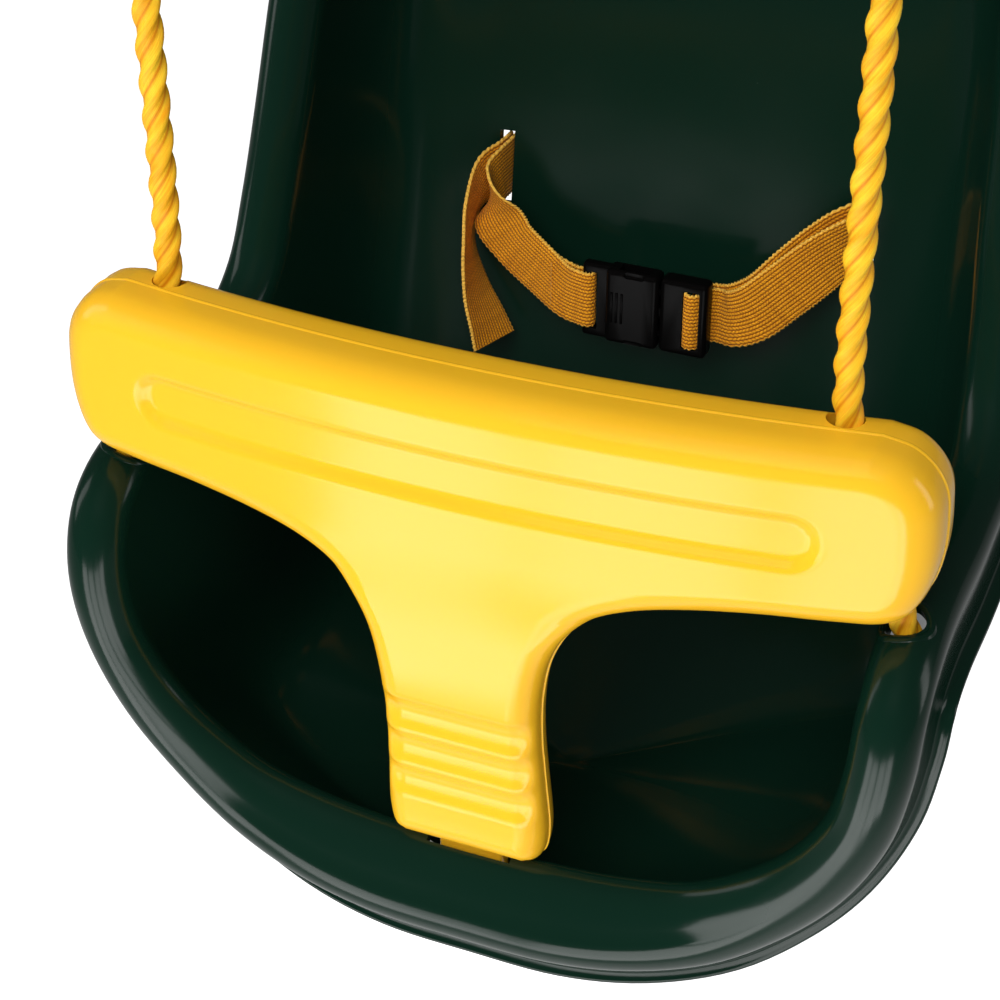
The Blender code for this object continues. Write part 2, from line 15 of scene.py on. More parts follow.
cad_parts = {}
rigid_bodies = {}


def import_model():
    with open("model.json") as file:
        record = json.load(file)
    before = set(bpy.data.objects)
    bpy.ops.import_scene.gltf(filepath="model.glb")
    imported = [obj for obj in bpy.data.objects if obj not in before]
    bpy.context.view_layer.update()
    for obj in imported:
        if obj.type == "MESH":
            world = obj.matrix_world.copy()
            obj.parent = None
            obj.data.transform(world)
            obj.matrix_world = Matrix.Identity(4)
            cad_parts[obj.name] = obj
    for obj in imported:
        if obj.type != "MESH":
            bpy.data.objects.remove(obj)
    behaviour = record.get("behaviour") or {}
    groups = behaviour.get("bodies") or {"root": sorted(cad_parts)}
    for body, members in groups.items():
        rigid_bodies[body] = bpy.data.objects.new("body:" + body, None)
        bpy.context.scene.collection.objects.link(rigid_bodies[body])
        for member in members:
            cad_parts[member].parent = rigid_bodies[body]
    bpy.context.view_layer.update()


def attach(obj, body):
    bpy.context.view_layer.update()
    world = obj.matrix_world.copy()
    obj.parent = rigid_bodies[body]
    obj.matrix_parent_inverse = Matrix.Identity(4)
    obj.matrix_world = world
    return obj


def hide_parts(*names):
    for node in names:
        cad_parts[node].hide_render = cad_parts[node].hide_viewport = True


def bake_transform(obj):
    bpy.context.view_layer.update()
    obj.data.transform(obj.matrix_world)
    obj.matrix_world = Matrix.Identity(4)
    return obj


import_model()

bl_info = {
    "name": "Toddler swing seat",
    "version": (1, 0, 0),
    "blender": (4, 5, 0),
    "location": "View3D > Sidebar > Swing Seat",
    "description": "Builds the looks of a moulded toddler swing seat on its packed frame",
    "category": "Object",
}


# ---- sizes and colours ---------------------------------------------------------------------
class SwingSeatSizes(bpy.types.PropertyGroup):
    rim_radius: bpy.props.FloatProperty(name="Rim radius", description="Radius of the shell's rolled rim", default=0.012, unit="LENGTH")
    wall: bpy.props.FloatProperty(name="Shell wall", description="Thickness of the shell's wall", default=0.004, unit="LENGTH")
    rope: bpy.props.FloatProperty(name="Rope", description="Diameter of the ropes", default=0.010, unit="LENGTH")
    lay: bpy.props.FloatProperty(name="Rope lay", description="Length in which a strand goes once round the rope", default=0.0375,
                                 unit="LENGTH")
    webbing: bpy.props.FloatProperty(name="Webbing", description="Width of the belt", default=0.025, unit="LENGTH")
    webbing_wall: bpy.props.FloatProperty(name="Webbing thickness", description="Thickness of the belt", default=0.0016, unit="LENGTH")
    ring: bpy.props.FloatProperty(name="Ring radius", description="Radius of a hanging ring, to the middle of its wire",
                                  default=0.021, unit="LENGTH")
    wire: bpy.props.FloatProperty(name="Ring wire", description="Radius of the ring's wire", default=0.004, unit="LENGTH")


class SwingSeatColours(bpy.types.PropertyGroup):
    shell: bpy.props.FloatVectorProperty(name="Shell", description="Moulded shell", subtype="COLOR", size=3,
                                         default=(0.0030, 0.0180, 0.0105))
    bar: bpy.props.FloatVectorProperty(name="Lap bar", description="Moulded lap bar", subtype="COLOR", size=3, default=(1.0, 0.54, 0.022))
    rope: bpy.props.FloatVectorProperty(name="Rope", description="Laid rope", subtype="COLOR", size=3, default=(1.0, 0.54, 0.012))
    webbing: bpy.props.FloatVectorProperty(name="Webbing", description="Woven belt", subtype="COLOR", size=3, default=(1.0, 0.42, 0.014))
    buckle: bpy.props.FloatVectorProperty(name="Buckle", description="Moulded buckle", subtype="COLOR", size=3,
                                          default=(0.0022, 0.0020, 0.0020))


# ---- the seat's frame ----------------------------------------------------------------------
LEAN = math.radians(10.43)
WIRE_Y, WIRE_Z = 5.45, 500.0
TURN = Matrix.Rotation(-LEAN, 3, "X")
SHIFT = -(TURN @ Vector((0, WIRE_Y, WIRE_Z)))


def seat_point(p):
    return (TURN @ Vector(p) + SHIFT) * 0.001


def seat_way(p):
    return TURN @ Vector(p)


# ---- mesh helpers --------------------------------------------------------------------------
def nothing_selected():
    for ob in bpy.context.view_layer.objects:
        ob.select_set(False)


def only(ob):
    nothing_selected()
    ob.select_set(True)
    bpy.context.view_layer.objects.active = ob


def solid(name, verts, faces, smooth=True):
    """A mesh object from points in the seat's frame."""
    me = bpy.data.meshes.new(name)
    me.from_pydata([tuple(seat_point(v)) for v in verts], [], faces)
    me.update()
    ob = bpy.data.objects.new(name, me)
    bpy.context.collection.objects.link(ob)
    bm = bmesh.new()
    bm.from_mesh(me)
    bmesh.ops.recalc_face_normals(bm, faces=bm.faces)
    bm.to_mesh(me)
    bm.free()
    if smooth:
        me.shade_smooth()
    return ob


def apply_modifiers(ob):
    only(ob)
    for m in list(ob.modifiers):
        bpy.ops.object.modifier_apply(modifier=m.name)


def cut(ob, tools, op="DIFFERENCE"):
    """Booleans with each tool in turn; the tools go."""
    for t in tools:
        m = ob.modifiers.new("cut", "BOOLEAN")
        m.object, m.operation, m.solver = t, op, "EXACT"
        apply_modifiers(ob)
        bpy.data.objects.remove(t, do_unlink=True)


def smooth_by_angle(ob, degrees=32):
    only(ob)
    bpy.ops.object.shade_smooth_by_angle(angle=math.radians(degrees))


def place(ob):
    """Takes an object made at seat-frame millimetres to its place, with the place in its mesh."""
    m = Matrix.Translation(SHIFT * 0.001) @ TURN.to_4x4() @ Matrix.Scale(0.001, 4)
    ob.data.transform(m @ ob.matrix_basis)
    ob.matrix_basis = Matrix.Identity(4)
    bm = bmesh.new()
    bm.from_mesh(ob.data)
    bmesh.ops.recalc_face_normals(bm, faces=bm.faces)
    bm.to_mesh(ob.data)
    bm.free()
    return ob


def block(name, lo, hi, bevel=0.0, segments=3):
    """A rounded block added as a cube and bevelled in edit mode, in seat-frame millimetres."""
    nothing_selected()
    bpy.ops.mesh.primitive_cube_add(size=1, location=[(a + b) / 2 for a, b in zip(lo, hi)])
    ob = bpy.context.object
    ob.name = name
    ob.scale = [b - a for a, b in zip(lo, hi)]
    bpy.ops.object.transform_apply(location=False, rotation=False, scale=True)
    if bevel:
        bpy.ops.object.mode_set(mode="EDIT")
        bpy.ops.mesh.select_all(action="SELECT")
        bpy.ops.mesh.bevel(offset=bevel, segments=segments, affect="EDGES")
        bpy.ops.object.mode_set(mode="OBJECT")
    return place(ob)


def circle(radius, n=48):
    return [(radius * math.cos(2 * math.pi * i / n), radius * math.sin(2 * math.pi * i / n)) for i in range(n)]


def tube_faces(rows, around, first=0):
    """Quads between rows of points that each close on themselves, with a face over each end."""
    faces = []
    for i in range(rows - 1):
        a = first + i * around
        b = a + around
        faces += [(a + j, a + (j + 1) % around, b + (j + 1) % around, b + j) for j in range(around)]
    last = first + (rows - 1) * around
    return faces + [tuple(range(first, first + around))[::-1], tuple(range(last, last + around))]


def rod(name, a, b, radius, sides=32):
    """A cylinder from a to b in the seat's frame."""
    a, b = Vector(a), Vector(b)
    d = (b - a).normalized()
    side = d.cross(Vector((0, 0, 1)) if abs(d.z) < 0.9 else Vector((1, 0, 0))).normalized()
    up = d.cross(side)
    verts = []
    for p in (a, b):
        verts += [p + side * x + up * y for x, y in circle(radius, sides)]
    return solid(name, verts, tube_faces(2, sides))


def join(obs, name):
    only(obs[0])
    for o in obs[1:]:
        o.select_set(True)
    bpy.ops.object.join()
    ob = bpy.context.object
    ob.name = name
    ob.data.name = name
    return ob


def dress(ob, material, body, nodes=()):
    ob.data.materials.clear()
    ob.data.materials.append(material)
    if body:
        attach(ob, body)
    if nodes:
        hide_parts(*nodes)
    return ob


def mirrored(p, side):
    return Vector((p[0] * side, p[1], p[2]))


def curve_through(points, per=12):
    """A smooth line through points, closer where they are closer."""
    pts = [Vector(p) for p in points]
    pts = [pts[0] * 2 - pts[1]] + pts + [pts[-1] * 2 - pts[-2]]
    out = []
    for a, b, c, d in zip(pts, pts[1:], pts[2:], pts[3:]):
        ta, tb, tc = (max(1e-6, (q - p).length) ** 0.5 for p, q in ((a, b), (b, c), (c, d)))
        m1 = ((b - a) / ta - (c - a) / (ta + tb) + (c - b) / tb) * tb
        m2 = ((c - b) / tb - (d - b) / (tb + tc) + (d - c) / tc) * tb
        for i in range(per):
            f = i / per
            out.append(b * (2 * f ** 3 - 3 * f ** 2 + 1) + m1 * (f ** 3 - 2 * f ** 2 + f)
                       + c * (3 * f ** 2 - 2 * f ** 3) + m2 * (f ** 3 - f ** 2))
    return out + [pts[-2]]


def even_steps(points, step):
    """Points an even step apart along a line, and the line's length."""
    run = [0.0]
    for a, b in zip(points, points[1:]):
        run.append(run[-1] + (b - a).length)
    n = max(2, round(run[-1] / step))
    out, j = [], 0
    for i in range(n + 1):
        s = run[-1] * i / n
        while j < len(run) - 2 and run[j + 1] < s:
            j += 1
        out.append(points[j].lerp(points[j + 1], (s - run[j]) / max(1e-9, run[j + 1] - run[j])))
    return out, run[-1]


def smooth_step(a, b, v):
    t = max(0.0, min(1.0, (v - a) / (b - a)))
    return t * t * (3 - 2 * t)


# ---- material helpers ----------------------------------------------------------------------
class Tree:
    """Short ways to add nodes and links."""

    def __init__(self, tree):
        self.tree = tree

    def link(self, a, b):
        self.tree.links.new(a, b)

    def math(self, operation, a, b=0.0, clamp=False):
        n = self.tree.nodes.new("ShaderNodeMath")
        n.operation, n.use_clamp = operation, clamp
        for i, v in enumerate((a, b)):
            if isinstance(v, (int, float)):
                n.inputs[i].default_value = v
            else:
                self.link(v, n.inputs[i])
        return n.outputs[0]

    def noise(self, vector, scale, detail=3.0, rough=0.5):
        n = self.tree.nodes.new("ShaderNodeTexNoise")
        n.inputs["Scale"].default_value = scale
        n.inputs["Detail"].default_value = detail
        n.inputs["Roughness"].default_value = rough
        self.link(vector, n.inputs["Vector"])
        return n.outputs["Fac"]

    def stretch(self, vector, scale):
        n = self.tree.nodes.new("ShaderNodeMapping")
        n.inputs["Scale"].default_value = scale
        self.link(vector, n.inputs["Vector"])
        return n.outputs["Vector"]

    def spread(self, value, lo, hi, a=0.0, b=1.0):
        n = self.tree.nodes.new("ShaderNodeMapRange")
        for key, v in (("From Min", a), ("From Max", b), ("To Min", lo), ("To Max", hi)):
            if isinstance(v, (int, float)):
                n.inputs[key].default_value = v
            else:
                self.link(v, n.inputs[key])
        self.link(value, n.inputs["Value"])
        return n.outputs[0]

    def blend(self, factor, a, b, how="MIX"):
        n = self.tree.nodes.new("ShaderNodeMix")
        n.data_type, n.blend_type = "RGBA", how
        ins = [s for s in n.inputs if s.enabled]
        for s, v in zip(ins, (factor, a, b)):
            if isinstance(v, (int, float)):
                s.default_value = v
            elif isinstance(v, tuple):
                s.default_value = (*v, 1.0)
            else:
                self.link(v, s)
        return [s for s in n.outputs if s.enabled][0]


def effect(name, inputs, outputs):
    """A new node group with named sockets; inputs and outputs are (name, kind, default)."""
    g = bpy.data.node_groups.new(name, "ShaderNodeTree")
    for label, kind, default in inputs:
        s = g.interface.new_socket(label, in_out="INPUT", socket_type=kind)
        if default is not None:
            s.default_value = default
    for label, kind in outputs:
        g.interface.new_socket(label, in_out="OUTPUT", socket_type=kind)
    return g, Tree(g), g.nodes.new("NodeGroupInput").outputs, g.nodes.new("NodeGroupOutput").inputs


def place_effect(t, group, vector, **values):
    n = t.tree.nodes.new("ShaderNodeGroup")
    n.node_tree = group
    t.link(vector, n.inputs["Vector"])
    for key, v in values.items():
        n.inputs[key.replace("_", " ")].default_value = v
    return n.outputs


def start_material(name, colour, roughness, metallic=0.0, coat=0.0, coat_roughness=0.05, sheen=0.0, specular=0.5):
    m = bpy.data.materials.new(name)
    m.use_nodes = True
    t = Tree(m.node_tree)
    b = m.node_tree.nodes["Principled BSDF"]
    b.inputs["Base Color"].default_value = (*colour, 1.0)
    b.inputs["Roughness"].default_value = roughness
    b.inputs["Metallic"].default_value = metallic
    b.inputs["Coat Weight"].default_value = coat
    b.inputs["Coat Roughness"].default_value = coat_roughness
    b.inputs["Sheen Weight"].default_value = sheen
    b.inputs["Specular IOR Level"].default_value = specular
    return m, t, b


def coordinates(t, uv=None):
    if uv:
        n = t.tree.nodes.new("ShaderNodeUVMap")
        n.uv_map = uv
        return n.outputs["UV"]
    return t.tree.nodes.new("ShaderNodeTexCoord").outputs["Object"]


def bump(t, b, height, strength, distance):
    n = t.tree.nodes.new("ShaderNodeBump")
    n.inputs["Strength"].default_value = strength
    n.inputs["Distance"].default_value = distance
    t.link(height, n.inputs["Height"])
    t.link(n.outputs["Normal"], b.inputs["Normal"])


def moulded_effect():
    """Moulded plastic: the skin's slight waviness, handling marks and the change of gloss with them."""
    g = bpy.data.node_groups.get("moulded_skin")
    if g:
        return g
    g, t, i, o = effect("moulded_skin", [("Vector", "NodeSocketVector", None), ("Gloss Low", "NodeSocketFloat", 0.15),
                                         ("Gloss High", "NodeSocketFloat", 0.3)],
                        [("Roughness", "NodeSocketFloat"), ("Height", "NodeSocketFloat"), ("Tone", "NodeSocketFloat")])
    broad = t.noise(i["Vector"], 14.0, 3.0)
    fine = t.noise(i["Vector"], 900.0, 2.0)
    marks = t.noise(t.stretch(i["Vector"], (60.0, 220.0, 35.0)), 4.0, 4.0, 0.65)
    marks = t.spread(marks, 0.0, 1.0, 0.62, 0.78)
    level = t.math("ADD", t.math("MULTIPLY", broad, 0.7), t.math("MULTIPLY", marks, 0.35), clamp=True)
    t.link(t.spread(level, i["Gloss Low"], i["Gloss High"], 0.25, 0.85), o["Roughness"])
    t.link(t.math("ADD", t.math("MULTIPLY", broad, 1.0), t.math("MULTIPLY", fine, 0.035)), o["Height"])
    t.link(t.spread(broad, 0.9, 1.0, 0.3, 0.7), o["Tone"])
    return g


def weave_effect():
    """Belt webbing: lengthways ribs of small stitches, and slanted bands across, on the belt's UV map in millimetres;
    Shade is painted shade in the hollows between ribs and stitches times the bands' own tone, and the edge output a
    painted highlight along both edges of the belt.
    """
    g = bpy.data.node_groups.get("webbing_weave")
    if g:
        return g
    g, t, i, o = effect("webbing_weave", [("Vector", "NodeSocketVector", None), ("Rib", "NodeSocketFloat", 1.3),
                                          ("Stitch", "NodeSocketFloat", 0.95)],
                        [("Height", "NodeSocketFloat"), ("Shade", "NodeSocketFloat"), ("Painted Edge Highlight", "NodeSocketFloat")])
    sep = t.tree.nodes.new("ShaderNodeSeparateXYZ")
    t.link(i["Vector"], sep.inputs[0])
    u, v = sep.outputs["X"], sep.outputs["Y"]
    ribs = t.math("DIVIDE", u, i["Rib"])
    row = t.math("FLOOR", ribs)
    across = t.math("ABSOLUTE", t.math("SINE", t.math("MULTIPLY", ribs, math.pi)))
    lean = t.math("MULTIPLY", t.math("SUBTRACT", t.math("MULTIPLY", t.math("PINGPONG", row, 1.0), 2.0), 1.0),
                  t.math("MULTIPLY", t.math("FRACT", ribs), 0.55))
    along = t.math("ADD", t.math("DIVIDE", v, i["Stitch"]), lean)
    stitch = t.math("ABSOLUTE", t.math("SINE", t.math("MULTIPLY", along, math.pi)))
    height = t.math("MULTIPLY", t.math("POWER", across, 0.6), t.math("ADD", 0.45, t.math("MULTIPLY", t.math("POWER", stitch, 0.8), 0.55)))
    bands = t.noise(t.stretch(i["Vector"], (0.05, 0.42, 1.0)), 1.0, 2.0)
    t.link(height, o["Height"])
    # Shade: painted shade, darker in the hollows between ribs and stitches, times the slanted bands' tone
    t.link(t.math("MULTIPLY", t.spread(height, 0.0, 1.0, 0.22, 0.8), t.spread(bands, 0.72, 1.0, 0.3, 0.7)), o["Shade"])
    # a painted highlight along both edges of the belt
    t.link(t.spread(t.math("ABSOLUTE", u), 0.0, 1.0, 11.6, 12.4), o["Painted Edge Highlight"])
    return g


def moulded_plastic(name, colour, roughness, specular, gloss, grain, deep=None):
    """A moulded plastic: gloss is its lowest and highest roughness, grain its skin's strength and depth, deep its darker tone."""
    m, t, b = start_material(name, colour, roughness, specular=specular)
    f = place_effect(t, moulded_effect(), coordinates(t), Gloss_Low=gloss[0], Gloss_High=gloss[1])
    t.link(f["Roughness"], b.inputs["Roughness"])
    if deep:
        t.link(t.blend(f["Tone"], deep, tuple(colour)), b.inputs["Base Color"])
    bump(t, b, f["Height"], *grain)
    return m, b


def shell_plastic():
    c = bpy.context.scene.swing_seat_colours
    return moulded_plastic("shell_plastic", c.shell, 0.2, 0.30, (0.14, 0.3), (0.25, 0.0006), tuple(v * 0.75 for v in c.shell))[0]


def bar_plastic():
    c = bpy.context.scene.swing_seat_colours
    deep = (c.bar[0] * 0.97, c.bar[1] * 0.93, c.bar[2] * 0.8)
    m, b = moulded_plastic("bar_plastic", c.bar, 0.22, 0.42, (0.16, 0.32), (0.2, 0.0006), deep)
    b.inputs["Subsurface Weight"].default_value = 0.08
    b.inputs["Subsurface Radius"].default_value = (0.004, 0.002, 0.0006)
    b.inputs["Subsurface Scale"].default_value = 1.0
    return m


def buckle_plastic():
    c = bpy.context.scene.swing_seat_colours
    return moulded_plastic("buckle_plastic", c.buckle, 0.42, 0.06, (0.26, 0.42), (0.35, 0.0002))[0]


def rope_fibre(name="rope_fibre"):
    """Laid rope: streaks of filament along each strand, with painted shade darkening the creases between strands."""
    c = bpy.context.scene.swing_seat_colours
    m, t, b = start_material(name, c.rope, 0.5, sheen=0.0, specular=0.3)
    uv = coordinates(t, "lay")
    sep = t.tree.nodes.new("ShaderNodeSeparateXYZ")
    t.link(uv, sep.inputs[0])
    # strand: a mask that falls to nothing in the creases between strands, where a darker colour is mixed in below as
    # painted shade
    strand = t.math("ABSOLUTE", t.math("SINE", t.math("MULTIPLY", sep.outputs["X"], 3 * math.pi)))
    streaks = t.noise(t.stretch(uv, (90.0, 38.0, 1.0)), 1.0, 4.0, 0.6)
    patches = t.noise(t.stretch(uv, (6.0, 75.0, 1.0)), 1.0, 2.0, 0.5)
    level = t.math("ADD", t.math("MULTIPLY", streaks, 0.55), t.math("MULTIPLY", patches, 0.45))
    deep = (c.rope[0] * 0.92, c.rope[1] * 0.66, c.rope[2] * 0.4)
    pale = (1.0, c.rope[1] * 1.22, c.rope[2] * 2.5)
    face = t.blend(t.spread(level, 0.0, 1.0, 0.36, 0.62), deep, pale)
    # painted shade: the darker colour mixed into the creases between strands
    t.link(t.blend(t.spread(strand, 0.0, 1.0, 0.0, 0.42), (deep[0] * 0.8, deep[1] * 0.66, deep[2] * 0.5), face), b.inputs["Base Color"])
    t.link(t.spread(streaks, 0.34, 0.55, 0.3, 0.7), b.inputs["Roughness"])
    bump(t, b, streaks, 0.5, 0.0005)
    return m


def webbing_cloth():
    c = bpy.context.scene.swing_seat_colours
    m, t, b = start_material("webbing_cloth", c.webbing, 0.7, sheen=0.05, specular=0.2)
    uv = coordinates(t, "weave")
    f = place_effect(t, weave_effect(), uv, Rib=1.6, Stitch=1.3)
    # dark: the colour of the painted shade in the weave's hollows and of the bands' darker tone
    dark = (c.webbing[0] * 0.30, c.webbing[1] * 0.14, c.webbing[2] * 0.2)
    # pale: the colour of the painted highlight along both edges of the belt
    pale = (1.0, c.webbing[1] * 1.5, c.webbing[2] * 8.0)
    base = t.blend(f["Shade"], dark, tuple(c.webbing))
    t.link(t.blend(t.math("MULTIPLY", f["Painted Edge Highlight"], 0.7), base, pale), b.inputs["Base Color"])
    t.link(t.spread(f["Height"], 0.75, 0.5), b.inputs["Roughness"])
    bump(t, b, f["Height"], 1.0, 0.0005)
    return m


def thread():
    m, t, b = start_material("belt_thread", (0.75, 0.34, 0.03), 0.5, sheen=0.2)
    twist = t.noise(t.stretch(coordinates(t), (1.0, 1.0, 1.0)), 2600.0, 2.0)
    t.link(t.blend(twist, (0.5, 0.17, 0.01), (0.9, 0.45, 0.05)), b.inputs["Base Color"])
    bump(t, b, twist, 0.6, 0.0002)
    return m


def ring_steel():
    m, t, b = start_material("ring_steel", (0.60, 0.61, 0.63), 0.3, metallic=1.0)
    v = coordinates(t)
    cloud = t.noise(v, 220.0, 4.0, 0.6)
    t.link(t.blend(cloud, (0.48, 0.49, 0.50), (0.72, 0.73, 0.75)), b.inputs["Base Color"])
    t.link(t.spread(cloud, 0.2, 0.42, 0.3, 0.7), b.inputs["Roughness"])
    bump(t, b, t.noise(v, 1500.0, 2.0), 0.15, 0.0002)
    return m


def sleeve_metal():
    m, t, b = start_material("sleeve_metal", (0.7, 0.7, 0.7), 0.35, metallic=1.0)
    v = coordinates(t)
    drawn = t.noise(t.stretch(v, (900.0, 900.0, 40.0)), 1.0, 3.0, 0.6)
    t.link(t.blend(drawn, (0.58, 0.58, 0.58), (0.8, 0.8, 0.8)), b.inputs["Base Color"])
    t.link(t.spread(drawn, 0.28, 0.46, 0.3, 0.7), b.inputs["Roughness"])
    bump(t, b, drawn, 0.3, 0.0002)
    return m


# ---- the shell -----------------------------------------------------------------------------
# Stations of the rim on the right, front to top: centre of the rolled edge (x, y, z), the tilt
# of the way the rim faces, the wall's depth, the point where the wall meets the floor, and how
# far the wall follows the rim (1, backrest) or drops to the floor (0, sides and front), and how
# far the rolled edge reaches in and up as the broad lip at the front.
STATIONS = [
    (0, -26, -199, 50, 14, 0, 12, -209, 0, 0.75), (35, -26, -198, 50, 14, 28, 14, -209, 0, 0.75),
    (65, -24, -193, 52, 18, 52, 18, -208, 0, 0.65),
    (93, -21, -182, 56, 26, 72, 26, -206, 0, 0.45), (116, -20, -163, 62, 40, 87, 36, -204, 0, 0.25),
    (134, -21, -140, 70, 54, 97, 46, -201, 0, 0.1),
    (146, -22, -114, 78, 66, 102, 56, -198, 0, 0), (151, -22, -89, 82, 76, 105, 66, -195, 0, 0),
    (152, -17, -68, 66, 90, 106, 76, -192, 0, 0),
    (152, -4, -55, 32, 106, 106, 86, -190, 0, 0), (152, 20, -49, 6, 112, 106, 98, -188, 0, 0), (153, 55, -46, 4, 112, 106, 112, -186, 0, 0),
    (153, 90, -40, 16, 104, 105, 128, -184, 0, 0), (151, 112, -22, 45, 88, 102, 144, -178, 0.3, 0),
    (149, 124, 5, 66, 74, 97, 158, -170, 0.6, 0),
    (146, 134, 40, 73, 66, 92, 170, -162, 0.85, 0), (143, 147, 85, 74, 60, 84, 178, -156, 1, 0),
    (137, 165, 150, 74, 54, 72, 183, -152, 1, 0),
    (124, 181, 205, 74, 50, 57, 186, -150, 1, 0), (97, 190, 236, 74, 48, 40, 187, -149, 1, 0), (51, 194, 248, 74, 48, 20, 188, -148, 1, 0),
    (0, 195, 251, 74, 48, 0, 188, -148, 1, 0),
]
FLOOR = Vector((0, 85, -212))
RIM = STATIONS + [(-s[0], *s[1:5], -s[5], *s[6:]) for s in STATIONS[-2:0:-1]]
HOLE_FRONT, HOLE_REAR = Vector((149.0, 3.0, -43.0)), Vector((128.5, 175.5, 186.0))
BAR_TOP, REAR_TOP = Vector((123.2, 0.0, 33.0)), Vector((123.2, 10.9, 428.0))
WAY_FRONT, WAY_REAR = (HOLE_FRONT - BAR_TOP).normalized(), (HOLE_REAR - REAR_TOP).normalized()
SLOT_X = 79.0
ROPE_HOLE = 7.6


def rim_values(t):
    n = len(RIM)
    u = (t % 1.0) * n
    i, f = int(u), u - int(u)
    p = [RIM[(i + j - 1) % n] for j in range(4)]
    return [0.5 * (2 * b + (c - a) * f + (2 * a - 5 * b + 4 * c - d) * f * f + (3 * b - a - 3 * c + d) * f ** 3)
            for a, b, c, d in zip(*p)]


def rim_frame(t):
    s = rim_values(t)
    along = (Vector(rim_values(t + 0.001)[:3]) - Vector(rim_values(t - 0.001)[:3])).normalized()
    tilt = math.radians(s[3])
    up = Vector((0, -math.sin(tilt), math.cos(tilt)))
    up = (up - along * along.dot(up)).normalized()
    return s, up, along.cross(up)


def roll_point(roll, degrees, lip):
    """A point of the rolled edge; with a lip its inner half is stretched in and up."""
    a = math.radians(degrees)
    inner = max(0.0, -math.cos(a))
    return roll * math.cos(a) - 18.0 * lip * inner, roll * math.sin(a) + 13.0 * lip * inner


def rim_section(roll, lip):
    """(outwards, up) of the flange, the skirt and the rolled edge."""
    flange = [(roll + 6.0, -18.5), (roll + 4.2, -18.3), (roll + 2.6, -17.9), (roll + 1.5, -17.1), (roll + 0.8, -15.6),
              (roll + 0.4, -13.2), (roll + 0.2, -10.0), (roll + 0.05, -5.0)]
    return flange + [roll_point(roll, a, max(0.0, lip)) for a in range(0, 181, 9)]


def wall_controls(t, roll):
    s, up, out = rim_frame(t)
    c, depth, w = Vector(s[:3]), s[4], min(1.0, max(0.0, s[8]))
    o, u = roll_point(roll, 180, max(0.0, s[9]))
    edge, foot = c + out * o + up * u, Vector(s[5:8])
    drop = [Vector((edge.x * a + foot.x * (1 - a), *(edge.yz.lerp(foot.yz, b)))) for a, b in ((0.98, 0.30), (0.90, 0.68), (0.62, 0.93))]
    back = [edge - up * depth * 0.35, edge - up * depth * 0.96 - out * depth * 0.12]
    back.append((back[1] + foot) / 2)
    return [edge, *(p.lerp(q, w) for p, q in zip(drop, back)), foot, foot * 0.45 + FLOOR * 0.55, FLOOR]


def clamped_spline(points, s):
    n, deg = len(points), 3
    knots = [0.0] * (deg + 1) + [i / (n - deg) for i in range(1, n - deg)] + [1.0] * (deg + 1)
    k = deg
    while knots[k + 1] <= s:
        k += 1
    d = [points[j + k - deg].copy() for j in range(deg + 1)]
    for r in range(1, deg + 1):
        for j in range(deg, r - 1, -1):
            a = (s - knots[j + k - deg]) / (knots[j + 1 + k - r] - knots[j + k - deg])
            d[j] = d[j - 1].lerp(d[j], a)
    return d[deg]


def shell_sheet(rounds=252, depth_rows=34):
    sizes = bpy.context.scene.swing_seat_sizes
    roll = sizes.rim_radius * 1000
    steps = [0.02 + 0.96 * (i / (depth_rows - 1)) for i in range(depth_rows)]
    verts, faces = [], []
    for i in range(rounds):
        t = i / rounds
        s, up, out = rim_frame(t)
        c = Vector(s[:3])
        section = rim_section(roll, s[9])
        verts += [c + out * o + up * u for o, u in section]
        ctrl = wall_controls(t, roll)
        verts += [clamped_spline(ctrl, r) for r in steps]
    rows = len(section) + len(steps)
    for i in range(rounds):
        a, b = i * rows, (i + 1) % rounds * rows
        faces += [(a + j, b + j, b + j + 1, a + j + 1) for j in range(rows - 1)]
    verts.append(FLOOR)
    faces += [(i * rows + rows - 1, (i + 1) % rounds * rows + rows - 1, len(verts) - 1) for i in range(rounds)]
    ob = solid("shell", verts, faces)
    bm = bmesh.new()
    bm.from_mesh(ob.data)
    if sum(f.normal.z for f in bm.faces if f.calc_center_median().z < -0.66) < 0:
        bmesh.ops.reverse_faces(bm, faces=bm.faces)
    bm.to_mesh(ob.data)
    bm.free()
    m = ob.modifiers.new("wall", "SOLIDIFY")
    m.thickness, m.offset, m.use_even_offset = sizes.wall, -1, False
    m = ob.modifiers.new("edge", "BEVEL")
    m.width, m.segments, m.limit_method, m.angle_limit = 0.0012, 3, "ANGLE", math.radians(55)
    apply_modifiers(ob)
    return ob


def lip(name, surface, centre, way, outline, section):
    """A raised lip round a hole: outline gives the hole's edge in the plane across way, and each
    point of section (outwards, height) stands on the surface found along way."""
    way = Vector(way).normalized()
    side = way.cross(Vector((0, 0, 1)) if abs(way.z) < 0.8 else Vector((1, 0, 0))).normalized()
    up = way.cross(side)
    pts = [side * a + up * b for a, b in outline]
    n = len(pts)
    verts, faces = [], []
    for i, p in enumerate(pts):
        tangent = (pts[(i + 1) % n] - pts[i - 1]).normalized()
        normal = tangent.cross(way).normalized()
        if normal.dot(p) < 0:
            normal = -normal
        q = p + normal * 1.6
        start = seat_point(Vector(centre) + q - way * 30)
        hit = surface.ray_cast(start, seat_way(way), 0.06)
        base = ((TURN.inverted() @ (hit[0] * 1000 - SHIFT)) if hit[0] else Vector(centre) + q)
        level = (base - Vector(centre)).dot(way)
        for o, h in section:
            verts.append(Vector(centre) + p + normal * o + way * (level - h))
    k = len(section)
    for i in range(n):
        a, b = i * k, (i + 1) % n * k
        faces += [(a + j, a + (j + 1) % k, b + (j + 1) % k, b + j) for j in range(k)]
    return solid(name, verts, faces)


